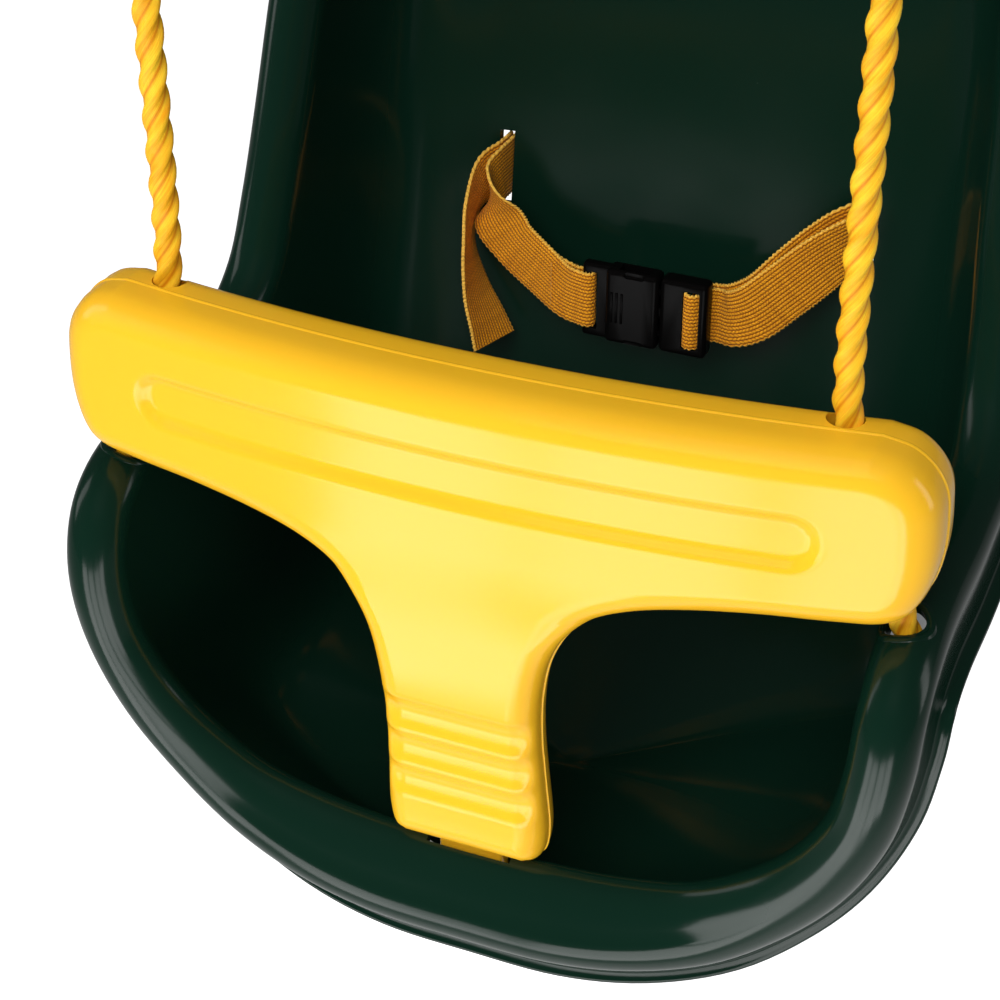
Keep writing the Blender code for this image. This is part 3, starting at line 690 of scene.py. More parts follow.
class SWINGSEAT_OT_shell(bpy.types.Operator):
    """The moulded shell, with its rolled rim, flange, rope holes, belt slots and the lap bar's slot"""
    bl_idname = "swing_seat.shell"
    bl_label = "Shell"

    def execute(self, context):
        ob = shell_sheet()
        bm = bmesh.new()
        bm.from_mesh(ob.data)
        surface = BVHTree.FromBMesh(bm)
        bm.free()
        ring = [(-0.4, -2.0), (-0.5, 0.0), (-0.2, 0.6), (0.4, 0.95), (1.2, 0.9), (2.0, 0.5), (2.6, -0.2), (2.7, -2.0)]
        lips, tools = [], []
        for side in (-1, 1):
            a, w = mirrored(HOLE_FRONT, side), mirrored(WAY_FRONT, side)
            tools.append(rod("tool", a - w * 22, a + w * 14, ROPE_HOLE, 40))
            lips.append(lip("lip", surface, a, w, circle(ROPE_HOLE), ring))
            a, w = mirrored(HOLE_REAR, side), mirrored(WAY_REAR, side)
            tools.append(rod("tool", a - w * 26, a + w * 4, ROPE_HOLE, 40))
            lips.append(lip("lip", surface, a, w, circle(ROPE_HOLE), ring))
            tools.append(block("tool", (side * SLOT_X - 3.2, 185, -18.5), (side * SLOT_X + 3.2, 230, 13.5)))
        tools.append(block("tool", (-17, -23.5, -200), (17, -10.5, -165)))
        cut(ob, tools)
        ob = join([ob] + lips, "shell")
        smooth_by_angle(ob, 34)
        dress(ob, shell_plastic(), "seat", ["seat_shell"])
        return {"FINISHED"}


# ---- the lap bar ---------------------------------------------------------------------------
BAR_SHAPE = [(0, -168.5), (24, -168.5), (29, -165.5), (31.2, -157), (30.4, -130), (29.8, -108), (31.0, -86), (34.4, -69),
             (40.3, -57), (49, -48.5), (62, -42.5), (80, -38.2), (105, -35), (130, -33.6), (146, -32.0),
             (153, -28), (157.5, -20), (160, -8), (160, 6), (158.5, 16), (154, 24), (147, 30), (137, 33), (60, 33), (0, 33)]


BAR_HALF, BAR_DEPTH, STEM_DEPTH = 160.0, 38.0, 24.0
BAR_ROUND, BAR_WALL = 12.0, 3.2
GRIP_HEIGHTS, GRIP_HALF = (-103.5, -120.5, -137.5), 8.0


def bar_outline():
    pts = [Vector((x, z, 0)) for x, z in BAR_SHAPE]
    line = [pts[0]] + curve_through(pts[1:-2], 6) + [pts[-2], pts[-1]]
    return [(p.x, p.y) for p in line]


def bar_middle(x):
    return -1.5 - 15.5 * (1 - (x / BAR_HALF) ** 2)


def bar_front(x, z):
    stem = smooth_step(-30, -62, z)
    return (bar_middle(x) - BAR_DEPTH / 2) * (1 - stem) + (-39.0 + 8.0 * smooth_step(-70, -166, z)) * stem


def bar_depth(z):
    stem = smooth_step(-28, -58, z)
    return BAR_DEPTH * (1 - stem) + STEM_DEPTH * stem


def bar_hollows(x, z):
    """Depth of the long groove along the bar and of the three finger grips on the stem."""
    g = math.hypot(max(0.0, abs(x) - 114), z + 0.5)
    d = 3.0 * (1 - smooth_step(6.5, 11.5, g))
    if abs(x) < 31:
        for z0 in GRIP_HEIGHTS:
            k = (z - z0) / GRIP_HALF
            if abs(k) < 1:
                d += 2.8 * math.cos(k * math.pi / 2) * (1 - smooth_step(23, 31, abs(x)))
    return d


class BarShape:
    """The lap bar's outline, with the distance inside it and its half width at a height."""

    def __init__(self):
        self.line = bar_outline()

    def inside(self, x, z):
        best, x = 1e9, abs(x)
        for (x0, z0), (x1, z1) in zip(self.line, self.line[1:]):
            dx, dz = x1 - x0, z1 - z0
            t = max(0.0, min(1.0, ((x - x0) * dx + (z - z0) * dz) / max(1e-9, dx * dx + dz * dz)))
            best = min(best, (x - x0 - t * dx) ** 2 + (z - z0 - t * dz) ** 2)
        return math.sqrt(best)

    def half_width(self, z):
        best = 0.0
        for (x0, z0), (x1, z1) in zip(self.line, self.line[1:]):
            if min(z0, z1) - 1e-6 <= z <= max(z0, z1) + 1e-6:
                best = max(best, x0 + (x1 - x0) * (z - z0) / (z1 - z0) if abs(z1 - z0) > 1e-9 else max(x0, x1))
        return best

    def surface(self, x, z, front, inset=0.0):
        e = max(0.0, min(BAR_ROUND, self.inside(x, z) - inset))
        r = min(BAR_ROUND - inset * 0.5, bar_depth(z) / 2 - 2.0)
        k = 1 - min(1.0, e / r)
        lift = r * (1 - math.sqrt(max(0.0, 1 - k * k)))
        f = bar_front(x, z) + inset
        if front:
            return f + lift + (bar_hollows(x, z) if not inset else 3.0 * (bar_hollows(x, z) > 0.3))
        return bar_front(x, z) + bar_depth(z) - inset - lift


def eased(n):
    """-1 to 1, closer together towards both ends."""
    return [0.55 * math.sin(math.pi * (i / n - 0.5)) + 0.45 * (2 * i / n - 1) for i in range(n + 1)]


def bar_mesh(name, inset, rows, cols, seam=False):
    shape = BarShape()
    fronts, backs = [], []
    for z in rows:
        w = shape.half_width(z)
        if inset:
            lo, hi = 0.0, w
            while hi - lo > 0.05:
                mid = (lo + hi) / 2
                lo, hi = (mid, hi) if shape.inside(mid, z) >= inset else (lo, mid)
            w = lo
        fronts.append([Vector((c * w, shape.surface(c * w, z, True, inset), z)) for c in cols])
        backs.append([Vector((c * w, shape.surface(c * w, z, False, inset), z)) for c in cols])
    n, k = len(cols), len(rows)
    verts = [v for row in fronts for v in row] + [v for row in backs for v in row]
    off = n * k
    faces = []
    for r in range(k - 1):
        a, b = r * n, (r + 1) * n
        faces += [(a + j, a + j + 1, b + j + 1, b + j) for j in range(n - 1)]
        faces += [(off + a + j, off + b + j, off + b + j + 1, off + a + j + 1) for j in range(n - 1)]
    ring = list(range(n)) + [r * n + n - 1 for r in range(1, k)]
    ring += [(k - 1) * n + j for j in range(n - 2, -1, -1)] + [r * n for r in range(k - 2, 0, -1)]
    m = len(ring)
    levels = [(0.44, 0.0), (0.465, 0.35), (0.5, 0.5), (0.535, 0.35), (0.56, 0.0)] if seam else []
    chain = [list(ring)]
    for share, out in levels:
        row = []
        for j, i in enumerate(ring):
            p, q = verts[i], verts[off + i]
            a, b = verts[ring[j - 1]], verts[ring[(j + 1) % m]]
            side = Vector((b.z - a.z, 0, a.x - b.x))
            side = side.normalized() if side.length > 1e-9 else Vector((0, 0, 0))
            row.append(len(verts))
            verts.append(p.lerp(q, share) + side * out)
        chain.append(row)
    chain.append([off + i for i in ring])
    for a, b in zip(chain, chain[1:]):
        faces += [(a[j], b[j], b[(j + 1) % m], a[(j + 1) % m]) for j in range(m)]
    return solid(name, verts, faces)


def heights(stops):
    """Rows between stops (height, step)."""
    out = []
    for (a, step), (b, _) in zip(stops, stops[1:]):
        n = max(1, round((b - a) / step))
        out += [a + (b - a) * i / n for i in range(n)]
    return out + [stops[-1][0]]


class SWINGSEAT_OT_lap_bar(bpy.types.Operator):
    """The T-shaped lap bar, hollow, with its groove, finger grips, tongue and rope bores"""
    bl_idname = "swing_seat.lap_bar"
    bl_label = "Lap bar"

    def execute(self, context):
        rows = heights([(-168.5, 0.35), (-164, 0.7), (-150, 1.2), (-60, 0.9), (-46, 0.45), (-30, 0.8), (-22, 1.2), (22, 0.7),
                        (28, 0.35), (33, 0)])
        bar = bar_mesh("lap_bar", 0.0, rows, eased(150), seam=True)
        hollow = bar_mesh("tool", BAR_WALL, [-160, -150, -120, -95, -75, -60, -50, -42, -34, -29, -22, -10, 1, 12, 20, 26, 29.6],
                          [-1, -0.9, -0.72, -0.46, -0.16, 0.16, 0.46, 0.72, 0.9, 1])
        tools = [hollow]
        for side in (-1, 1):
            tools.append(rod("tool", (side * 123.2, 0, 20), (side * 123.2, 0, 45), 6.4, 40))
            tools.append(rod("tool", (side * 124.7, 0, 12), (side * 124.7, 0, 31.2), 8.4, 32))
            lo, hi = (113.3, 152.7) if side > 0 else (-152.7, -113.3)
            tools.append(block("tool", (lo, -8.4, -50), (hi, 9.0, -18), bevel=3.0))
        cut(bar, tools)
        cut(bar, [block("tool", (-13, -20.8, -184), (13, -13.6, -160), bevel=1.5)], "UNION")
        smooth_by_angle(bar, 36)
        dress(bar, bar_plastic(), "lap_bar", ["t_bar"])
        return {"FINISHED"}


# ---- ropes ---------------------------------------------------------------------------------
KNOT_FRONT, KNOT_REAR = Vector((158.0, 12.0, -82.0)), Vector((139.0, 199.0, 152.0))
ROPE_X, EYE = 123.2, 20.0
EYE_Z = WIRE_Z - (EYE - 5.0 - 4.0) + 0.9


def rope_route():
    x = ROPE_X
    return [
        KNOT_FRONT + Vector((-3.2, -4.5, 10.6)), HOLE_FRONT + WAY_FRONT * 10, HOLE_FRONT, HOLE_FRONT - WAY_FRONT * 40,
        Vector((x + 2.0, 0, 27)), Vector((x, 0, 42)), Vector((x, 0, 150)), Vector((x, 0, 300)), Vector((x, 0, 420)),
        Vector((x, 0, 432)), Vector((x, 0, 442)), Vector((x, 0, 452)), Vector((x, -5.5, 465)),
        Vector((x, WIRE_Y - EYE * 0.93, EYE_Z - EYE * 0.45)), Vector((x, WIRE_Y - EYE * 0.93, EYE_Z + EYE * 0.36)),
        Vector((x, WIRE_Y - EYE * 0.5, EYE_Z + EYE * 0.86)), Vector((x, WIRE_Y, EYE_Z + EYE)),
        Vector((x, WIRE_Y + EYE * 0.5, EYE_Z + EYE * 0.86)), Vector((x, WIRE_Y + EYE * 0.93, EYE_Z + EYE * 0.36)),
        Vector((x, WIRE_Y + EYE * 0.93, EYE_Z - EYE * 0.45)), Vector((x, 16.4, 465)), Vector((x, 10.9, 452)),
        Vector((x, 10.9, 442)), Vector((x, 10.9, 432)), Vector((x + 0.1, 14.8, 413)),
        REAR_TOP.lerp(HOLE_REAR, 0.22) + Vector((0, -2, 0)), REAR_TOP.lerp(HOLE_REAR, 0.55), HOLE_REAR - WAY_REAR * 30,
        HOLE_REAR, HOLE_REAR + WAY_REAR * 12 + Vector((0.8, 0, 0)), KNOT_REAR + Vector((-2.6, -7.0, 8.4)),
    ]


def laid_rope(name, points, radius, lay, around=36, step=1.4, phase=0.0):
    """Three strands laid round each other along a line, as one closed skin, with a UV map called lay."""
    pts, length = even_steps(points, step)
    strand = radius / (1 + 2 / math.sqrt(3))
    reach = radius - strand
    tangent = [(pts[min(i + 1, len(pts) - 1)] - pts[max(i - 1, 0)]).normalized() for i in range(len(pts))]
    side = tangent[0].cross(Vector((0, 1, 0)))
    side = side.normalized() if side.length > 0.2 else tangent[0].cross(Vector((1, 0, 0))).normalized()
    verts, uvs = [], []
    run = 0.0
    for i, p in enumerate(pts):
        if i:
            run += (p - pts[i - 1]).length
            side = (side - tangent[i] * tangent[i].dot(side)).normalized()
        up = tangent[i].cross(side)
        turn = 2 * math.pi * run / lay + phase
        end = min(run, length - run)
        ease = 1.0 if end > 1.5 else 0.8 + 0.2 * end / 1.5
        for j in range(around):
            a = 2 * math.pi * j / around
            b = (a % (2 * math.pi / 3)) - math.pi / 3
            # the strand's circle, seen from the rope's middle
            s = reach * math.sin(b)
            r = reach * math.cos(b) + math.sqrt(max(0.0, strand * strand * 1.12 - s * s))
            r = max(r, radius * 0.80) * ease
            verts.append(p + (side * math.cos(a + turn) + up * math.sin(a + turn)) * r)
        uvs.append(run / 1000)
    ob = solid(name, verts, tube_faces(len(pts), around))
    layer = ob.data.uv_layers.new(name="lay")
    for poly in ob.data.polygons:
        cols = [ob.data.loops[li].vertex_index % around for li in poly.loop_indices]
        wrap = max(cols) - min(cols) > around / 2
        for li, c in zip(poly.loop_indices, cols):
            i = ob.data.loops[li].vertex_index // around
            layer.data[li].uv = ((c + (around if wrap and c < around / 2 else 0)) / around, uvs[i])
    return ob, length


def overhand_knot(name, centre, way, size, material):
    """A stopper knot: a rope's end turned through its own loop, with a short sealed tail."""
    way = Vector(way).normalized()
    side = way.cross(Vector((0, 0, 1)) if abs(way.z) < 0.8 else Vector((0, 1, 0))).normalized()
    up = way.cross(side)
    unit = size / 4.3
    pts = [Vector(centre) - way * size * 1.15 + side * unit * 0.4]
    for i in range(61):
        a = math.radians(-28 + 296 * i / 60) + 0.4
        r = 2 + math.cos(3 * a)
        around = side * r * math.cos(2 * a) * 0.86 + up * r * math.sin(2 * a) * 0.86
        pts.append(Vector(centre) + around * unit + way * math.sin(3 * a) * unit * 1.15)
    pts.append(Vector(centre) + way * size * 1.45 + up * unit * 0.5)
    ob, _ = laid_rope(name, curve_through(pts, 4), size * 0.40, size * 2.9, around=24, step=1.0)
    ob.data.materials.append(material)
    return ob


def pressed_sleeve(name, x):
    """An oval metal sleeve over the two parts of the rope, pressed in three places."""
    verts, around, levels = [], 64, []
    for i in range(41):
        z = 433 + 17.0 * i / 40
        end = min(z - 433, 450 - z)
        shape = 1 - 0.16 * (1 - min(1.0, end / 1.6)) ** 2
        for z0 in (437.3, 441.5, 445.7):
            shape -= 0.075 * math.exp(-((z - z0) / 0.9) ** 2)
        levels.append((z, shape))
    for z, shape in levels:
        for j in range(around):
            a = 2 * math.pi * j / around
            c, s = math.cos(a), math.sin(a)
            px = abs(c) ** 0.75 * (1 if c > 0 else -1) * 8.2 * shape
            py = abs(s) ** 0.75 * (1 if s > 0 else -1) * 13.65 * (0.5 + 0.5 * shape)
            verts.append((x + px, 5.45 + py, z))
    return solid(name, verts, tube_faces(len(levels), around))


class SWINGSEAT_OT_ropes(bpy.types.Operator):
    """The two laid ropes, each from its knot under the rim up through the bar to its eye and down to the backrest"""
    bl_idname = "swing_seat.ropes"
    bl_label = "Ropes"

    def execute(self, context):
        sizes = context.scene.swing_seat_sizes
        fibre, metal = rope_fibre(), sleeve_metal()
        for word, side in (("left", -1), ("right", 1)):
            line = curve_through([mirrored(p, side) for p in rope_route()], 12)
            rope, length = laid_rope("rope_laid_" + word, line, sizes.rope * 500, sizes.lay * 1000, phase=0.6 if side > 0 else 2.2)
            dress(rope, fibre, "seat", ["rope_" + word])
            for where, c, w in (("front", KNOT_FRONT, KNOT_FRONT - HOLE_FRONT), ("rear", KNOT_REAR, KNOT_REAR - HOLE_REAR)):
                knot = overhand_knot(f"stopper_{where}_{word}", mirrored(c, side), mirrored(w, side), 9.6, fibre)
                dress(knot, fibre, "seat", [f"knot_{where}_{word}"])
            sleeve = pressed_sleeve("sleeve_" + word, side * ROPE_X)
            smooth_by_angle(sleeve, 50)
            dress(sleeve, metal, "seat", ["rope_sleeve_" + word])
            path, _ = even_steps(line, 9.0)
        return {"FINISHED"}


class SWINGSEAT_OT_rings(bpy.types.Operator):
    """The two hanging rings, each closed by a small weld"""
    bl_idname = "swing_seat.rings"
    bl_label = "Rings"

    def execute(self, context):
        sizes = context.scene.swing_seat_sizes
        steel = ring_steel()
        for word, side in (("left", -1), ("right", 1)):
            nothing_selected()
            bpy.ops.mesh.primitive_torus_add(major_segments=96, minor_segments=28, major_radius=sizes.ring, minor_radius=sizes.wire,
                                             location=(side * ROPE_X / 1000, 0, sizes.ring), rotation=(math.pi / 2, 0, 0))
            ring = context.object
            ring.name = "hanging_ring_" + word
            bpy.ops.object.transform_apply(location=True, rotation=True, scale=True)
            # the weld stands a little proud at the top of the ring
            top = Vector((side * ROPE_X / 1000, 0, sizes.ring * 2))
            for v in ring.data.vertices:
                k = math.exp(-((v.co.x - top.x) / 0.0016) ** 2) if v.co.z > sizes.ring else 0.0
                v.co = v.co + (v.co - top).normalized() * 0.00035 * k
            ring.data.shade_smooth()
            dress(ring, steel, "hanger_rings", ["ring_" + word])
        return {"FINISHED"}


# ---- lap belt ------------------------------------------------------------------------------
UP = (0, 0, 1)
BX, BY, BZ = -5.0, 176.0, -41.0


def strap(name, points, ups, width=25.0, thick=1.6, per=20, step=0.42, teeth=0.3):
    """A strip of webbing along a smooth line, its width along ups, with rounded, ridged edges and a UV map called weave."""
    raw = curve_through(points, per)
    raw_up = curve_through([Vector(u) * 100 for u in ups], per)
    run = [0.0]
    for a, b in zip(raw, raw[1:]):
        run.append(run[-1] + (b - a).length)
    n = max(4, round(run[-1] / step))
    pts, tops, j = [], [], 0
    for i in range(n + 1):
        s = run[-1] * i / n
        while j < len(run) - 2 and run[j + 1] < s:
            j += 1
        f = (s - run[j]) / max(1e-9, run[j + 1] - run[j])
        pts.append(raw[j].lerp(raw[j + 1], f))
        tops.append(raw_up[j].lerp(raw_up[j + 1], f).normalized())
    half = [-12.5, -12.3, -11.6, -10.2, -7.5, -4.5, -1.5, 1.5, 4.5, 7.5, 10.2, 11.6, 12.3, 12.5]
    scale = width / 25.0
    loop = [(a, 0.5 if abs(a) < 11.7 else 0.36 if abs(a) < 12.4 else 0.1) for a in half]
    loop = loop + [(a, -h) for a, h in reversed(loop)]
    verts = []
    for i, p in enumerate(pts):
        t = (pts[min(i + 1, n)] - pts[max(i - 1, 0)]).normalized()
        u = (tops[i] - t * t.dot(tops[i])).normalized()
        w = t.cross(u)
        s = run[-1] * i / n
        ridge = teeth * math.sin(2 * math.pi * s / 1.9)
        for a, h in loop:
            e = ridge * smooth_step(10.0, 12.3, abs(a)) * (1 if a > 0 else -1)
            verts.append(p + u * (a * scale + e) + w * h * thick)
    k = len(loop)
    ob = solid(name, verts, tube_faces(n + 1, k))
    layer = ob.data.uv_layers.new(name="weave")
    for loop_item in ob.data.loops:
        i, c = divmod(loop_item.vertex_index, k)
        layer.data[loop_item.index].uv = (loop[c][0], run[-1] * i / n)
    smooth_by_angle(ob, 60)
    return ob


def stitches(name, lines, radius=0.32):
    """Rows of short raised threads; each line is (start, end, outwards)."""
    verts, faces = [], []
    for a, b, out in lines:
        a, b, out = Vector(a), Vector(b), Vector(out).normalized()
        n = max(1, round((b - a).length / 2.3))
        way = (b - a).normalized()
        side = way.cross(out).normalized()
        for i in range(n):
            p, q = a.lerp(b, (i + 0.12) / n), a.lerp(b, (i + 0.88) / n)
            base = len(verts)
            for m in range(7):
                f = m / 6
                c = p.lerp(q, f) + out * (0.42 * math.sin(math.pi * f) - 0.12)
                r = radius * (0.55 + 0.45 * math.sin(math.pi * f))
                for j in range(8):
                    ang = 2 * math.pi * j / 8
                    verts.append(c + side * math.cos(ang) * r + out * math.sin(ang) * r)
            faces += tube_faces(7, 8, base)
    return solid(name, verts, faces)


class SWINGSEAT_OT_belt(bpy.types.Operator):
    """The lap belt: straps through the slots, their sewn and threaded ends, the run behind the backrest and the loose tail"""
    bl_idname = "swing_seat.belt"
    bl_label = "Lap belt"

    def execute(self, context):
        sizes = context.scene.swing_seat_sizes
        width, thick = sizes.webbing * 1000, sizes.webbing_wall * 1000
        cloth = webbing_cloth()
        left = strap("belt_strap_left", [(BX - 26, BY + 2.6, BZ), (BX - 23.4, BY + 1.6, BZ), (BX - 22.8, BY - 1.2, BZ),
                                         (BX - 24.5, BY - 3.0, BZ),
                                         (BX - 29, BY - 2.6, BZ + 0.2), (BX - 36, BY - 0.6, BZ + 0.8), (-53, BY + 3.3, -34.5),
                                         (-68, 183, -25),
                                         (-77, 184.5, -13), (-79.4, 190, -6), (-78.3, 196.5, -2.9), (-77.8, 203, -2.5), (-77.8, 213, -2.5)],
                     [UP, UP, UP, UP, UP, (0.06, 0, 1), (0.12, 0, 1), (0.2, 0, 1), (0.12, 0, 1), (0.03, 0, 1), UP, UP, UP], width, thick)
        dress(left, cloth, "seat", ["belt_left_run"])
        fold = strap("belt_fold_left", [(BX - 26.2, BY + 2.7, BZ), (BX - 29, BY + 1.2, BZ + 0.2), (BX - 34, BY + 1.3, BZ + 0.7),
                                        (BX - 39, BY + 2.0, BZ + 2.2),
                                        (-49.5, BY + 4.1, -37.6)],
                     [UP, UP, (0.05, 0, 1), (0.08, 0, 1), (0.1, 0, 1)], width, thick)
        dress(fold, cloth, "seat")
        right = strap("belt_strap_right", [(BX + 17.4, BY - 1.6, BZ), (BX + 18.6, BY - 4.6, BZ), (BX + 21.0, BY - 5.4, BZ),
                                           (BX + 23.4, BY - 3.6, BZ),
                                           (BX + 24.6, BY + 3.4, BZ), (BX + 29.6, BY + 5.2, BZ), (BX + 35.5, BY + 3.4, BZ + 0.5),
                                           (39, BY + 3.2, -36.5), (52, 182.4, -24.5),
                                           (66, 188, -11), (74.5, 195, -5), (78.0, 204, -2.5), (78.0, 213, -2.5)],
                      [UP, UP, UP, UP, UP, UP, (-0.04, 0, 1), (-0.08, 0, 1), (-0.12, 0, 1), (-0.12, 0, 1), (-0.05, 0, 1), UP, UP],
                      width, thick)
        dress(right, cloth, None, ["belt_right_run"])
        under = strap("belt_return_right", [(BX + 18.0, BY + 6.6, BZ + 0.4), (BX + 26, BY + 7.4, BZ + 0.6),
                                            (BX + 35, BY + 7.8, BZ + 1.6), (42, 186.5, -33.0), (54, 190.8, -19.6),
                                            (66, 196.0, -7.4), (74.2, 200.6, -1.6), (80.2, 207.5, -1.6), (80.4, 213, -2.0)],
                       [UP, UP, UP, (-0.08, 0, 1), (-0.12, 0, 1), (-0.1, 0, 1), (-0.05, 0, 1), UP, UP], width, thick)
        dress(under, cloth, None)
        for piece in (right, under):  # they are left unattached, placed in their meshes, as they run from the seat at the slot to the plug at the buckle
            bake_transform(piece)
        back = strap("belt_strap_back", [(-77.8, 213.6, -2.5), (-76.2, 216.4, -2.5), (-70, 217.8, -2.5), (0, 218.2, -2.5),
                                         (70, 217.8, -2.5),
                                         (76.2, 216.4, -2.5), (77.8, 213.6, -2.5)], [UP] * 7, width, thick)
        dress(back, cloth, "seat", ["belt_back_run"])
        tail = strap("belt_loose_tail", [(-80.4, 213, -2.5), (-80.4, 207, -2.5), (-81.0, 200.5, -2.5), (-84.6, 193.5, -5),
                                         (-86.6, 184.5, -14),
                                         (-85.2, 177.5, -30), (-81.0, 175, -47), (-74.6, 173.5, -62), (-71.6, 172.5, -69)],
                     [UP, UP, UP, (0, -0.3, 0.95), (0.12, -0.77, 0.6), (0.2, -0.95, 0.2), (0.02, -1, 0.05), (-0.2, -0.97, 0),
                      (-0.33, -0.94, 0)], width, thick)
        dress(tail, cloth, "seat", ["belt_tail"])
        front = (0, -1, 0.1)
        rows = []
        for x in (-47.2, -38.6):
            y = BY + 0.1 if x > -42 else BY + 1.2
            rows.append(((x, y - 1.0, -48.6 + (x + 47) * -0.2), (x, y - 1.0, -28.4 + (x + 47) * -0.2), front))
        sewn = stitches("belt_stitching", rows)
        dress(sewn, thread(), "seat")
        return {"FINISHED"}


# ---- buckle --------------------------------------------------------------------------------
class SWINGSEAT_OT_buckle(bpy.types.Operator):
    """The side-release buckle: a socket with side windows and a plug with its adjuster bars"""
    bl_idname = "swing_seat.buckle"
    bl_label = "Buckle"

    def execute(self, context):
        black = buckle_plastic()
        body = block("buckle_socket_body", (BX - 16.5, BY - 5, BZ - 17), (BX + 6.5, BY + 5, BZ + 17), bevel=2.4, segments=4)
        frame_piece = block("frame", (BX - 27.5, BY - 2.4, BZ - 17), (BX - 12, BY + 2.4, BZ + 17), bevel=1.6, segments=3)
        cut(frame_piece, [block("tool", (BX - 23.6, BY - 6, BZ - 13.2), (BX - 20.6, BY + 6, BZ + 13.2), bevel=0.6)])
        cut(body, [block("tool", (BX - 15.5, BY - 3.0, BZ - 13.2), (BX + 9, BY + 3.0, BZ + 13.2)),
                   block("tool", (BX - 11.0, BY - 3.0, BZ - 20), (BX + 2.2, BY + 3.0, BZ + 20)),
                   block("tool", (BX - 8.5, BY - 7.2, BZ - 21.5), (BX + 0.5, BY - 3.9, BZ - 14.2), bevel=1.2),
                   block("tool", (BX - 8.5, BY - 7.2, BZ + 14.2), (BX + 0.5, BY - 3.9, BZ + 21.5), bevel=1.2)])
        ribs = [block("rib", (BX + x, BY - 5.5, BZ - 7), (BX + x + 1.1, BY - 4.6, BZ + 7), bevel=0.35, segments=2) for x in (-14.0,
                -11.8, -9.6)]
        socket = join([body, frame_piece] + ribs, "buckle_socket_moulding")
        smooth_by_angle(socket, 40)
        dress(socket, black, "seat", ["buckle_socket"])
        head = block("head", (BX + 7.1, BY - 4.4, BZ - 17), (BX + 27.5, BY + 4.4, BZ + 17), bevel=2.2, segments=4)
        cut(head, [block("tool", (BX + 17.0, BY - 8, BZ - 13.2), (BX + 24.2, BY + 8, BZ + 13.2), bevel=0.9)])
        guide = block("guide", (BX - 12.5, BY - 2.3, BZ - 2.2), (BX + 9, BY + 2.3, BZ + 2.2), bevel=0.5)
        plug = join([head, guide], "buckle_plug_moulding")
        smooth_by_angle(plug, 40)
        dress(plug, black, "buckle_plug", ["buckle_plug"])
        for node in ("prong_upper", "prong_lower"):
            ob = bpy.data.objects[node]
            for s in ob.material_slots:
                s.material = black
        return {"FINISHED"}


# ---- stage ---------------------------------------------------------------------------------
def soft_light(name, where, at, size, power, colour=(1, 1, 1), spread=180):
    data = bpy.data.lights.new(name, "AREA")
    data.shape, data.size, data.size_y = "RECTANGLE", size[0], size[1]
    data.energy, data.color, data.spread = power, colour, math.radians(spread)
    ob = bpy.data.objects.new(name, data)
    bpy.context.collection.objects.link(ob)
    ob.location = where
    ob.rotation_euler = (Vector(at) - Vector(where)).to_track_quat("-Z", "Y").to_euler()
    return ob


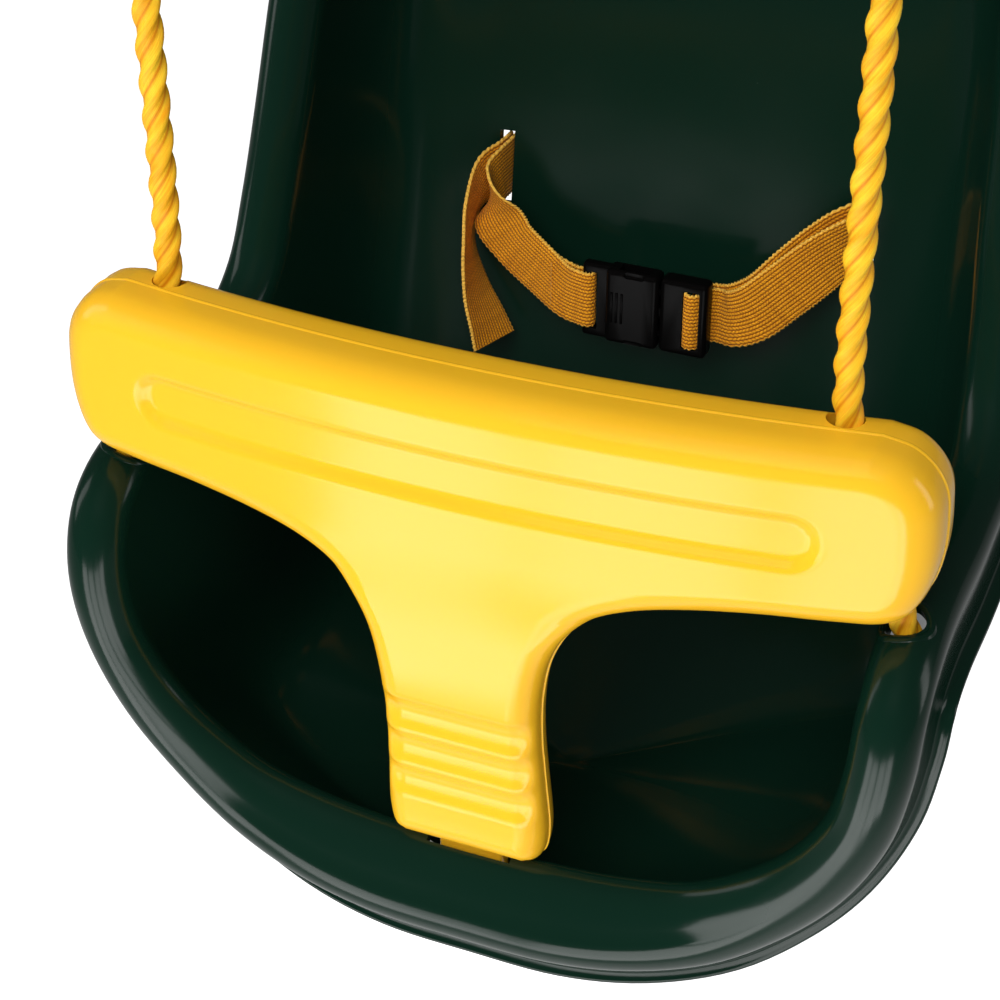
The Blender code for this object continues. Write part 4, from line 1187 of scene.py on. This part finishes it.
class SWINGSEAT_OT_stage(bpy.types.Operator):
    """Pale floor, soft lights and the camera"""
    bl_idname = "swing_seat.stage"
    bl_label = "Stage"

    def execute(self, context):
        scene = context.scene
        nothing_selected()
        bpy.ops.mesh.primitive_plane_add(size=18, location=(0, 0, -1.95))
        floor = context.object
        floor.name = "floor"
        bpy.ops.object.transform_apply(location=True, rotation=True, scale=True)
        m, t, b = start_material("pale_floor", (0.86, 0.86, 0.86), 0.9)
        seen = t.tree.nodes.new("ShaderNodeLightPath").outputs["Is Camera Ray"]
        t.link(t.blend(seen, (0.12, 0.12, 0.12), (0.95, 0.95, 0.95)), b.inputs["Emission Color"])
        b.inputs["Emission Strength"].default_value = 1.0
        floor.data.materials.append(m)
        world = bpy.data.worlds.new("room")
        world.use_nodes = True
        world.node_tree.nodes["Background"].inputs["Color"].default_value = (1, 1, 1, 1)
        world.node_tree.nodes["Background"].inputs["Strength"].default_value = 0.06
        scene.world = world
        scene.view_settings.view_transform = "Standard"
        scene.view_settings.look = "None"
        middle = (0.0, -0.05, -0.5)
        for i in range(4):
            soft_light(f"front_panel_{i}", (-0.64 + 0.50 * i, -1.55, -1.12), (0.0, -0.05, -0.55), (0.44, 0.95), 5)
        soft_light("high_front", (0.2, -1.6, 1.3), middle, (1.6, 1.0), 34).visible_glossy = False
        soft_light("left_soft", (-1.8, -1.0, 0.2), middle, (1.0, 1.6), 14).visible_glossy = False
        soft_light("top_soft", (0.2, -0.7, 1.9), middle, (1.6, 1.2), 13).visible_glossy = False
        soft_light("left_edge", (-1.9, -0.4, 0.1), middle, (0.5, 1.2), 3)
        soft_light("right_edge", (1.9, 0.3, -0.3), middle, (0.5, 1.2), 4)
        cam = bpy.data.cameras.new("camera")
        cam.lens, cam.sensor_width, cam.clip_start = 84.03, 36.0, 0.01
        ob = bpy.data.objects.new("camera", cam)
        context.collection.objects.link(ob)
        right, up, view = Vector((0.92236, 0.37996, -0.06994)), Vector((-0.21021, 0.64546, 0.73432)), Vector((-0.32415, 0.66260, -0.67521))
        turn = Matrix((right, up, -view)).transposed()
        ob.matrix_world = Matrix.Translation((0.26852, -0.64289, 0.03370)) @ turn.to_4x4()
        scene.camera = ob
        return {"FINISHED"}


class SWINGSEAT_PT_panel(bpy.types.Panel):
    """Lists the seat's pieces"""
    bl_idname = "SWINGSEAT_PT_panel"
    bl_label = "Swing Seat"
    bl_space_type = "VIEW_3D"
    bl_region_type = "UI"
    bl_category = "Swing Seat"

    def draw(self, context):
        for group in (context.scene.swing_seat_sizes, context.scene.swing_seat_colours):
            for key in group.bl_rna.properties.keys():
                if key not in ("rna_type", "name"):
                    self.layout.prop(group, key)
        for op in OPERATORS:
            self.layout.operator(op.bl_idname)


OPERATORS = (SWINGSEAT_OT_stage, SWINGSEAT_OT_ropes, SWINGSEAT_OT_rings, SWINGSEAT_OT_shell, SWINGSEAT_OT_lap_bar,
             SWINGSEAT_OT_belt, SWINGSEAT_OT_buckle)
CLASSES = (SwingSeatSizes, SwingSeatColours, *OPERATORS, SWINGSEAT_PT_panel)


def register():
    for c in CLASSES:
        bpy.utils.register_class(c)
    bpy.types.Scene.swing_seat_sizes = bpy.props.PointerProperty(type=SwingSeatSizes)
    bpy.types.Scene.swing_seat_colours = bpy.props.PointerProperty(type=SwingSeatColours)


def unregister():
    del bpy.types.Scene.swing_seat_colours
    del bpy.types.Scene.swing_seat_sizes
    for c in reversed(CLASSES):
        bpy.utils.unregister_class(c)


def main():
    register()
    bpy.ops.swing_seat.stage()
    bpy.ops.swing_seat.ropes()
    bpy.ops.swing_seat.rings()
    bpy.ops.swing_seat.shell()
    bpy.ops.swing_seat.lap_bar()
    bpy.ops.swing_seat.belt()
    bpy.ops.swing_seat.buckle()


if __name__ == "__main__":
    main()
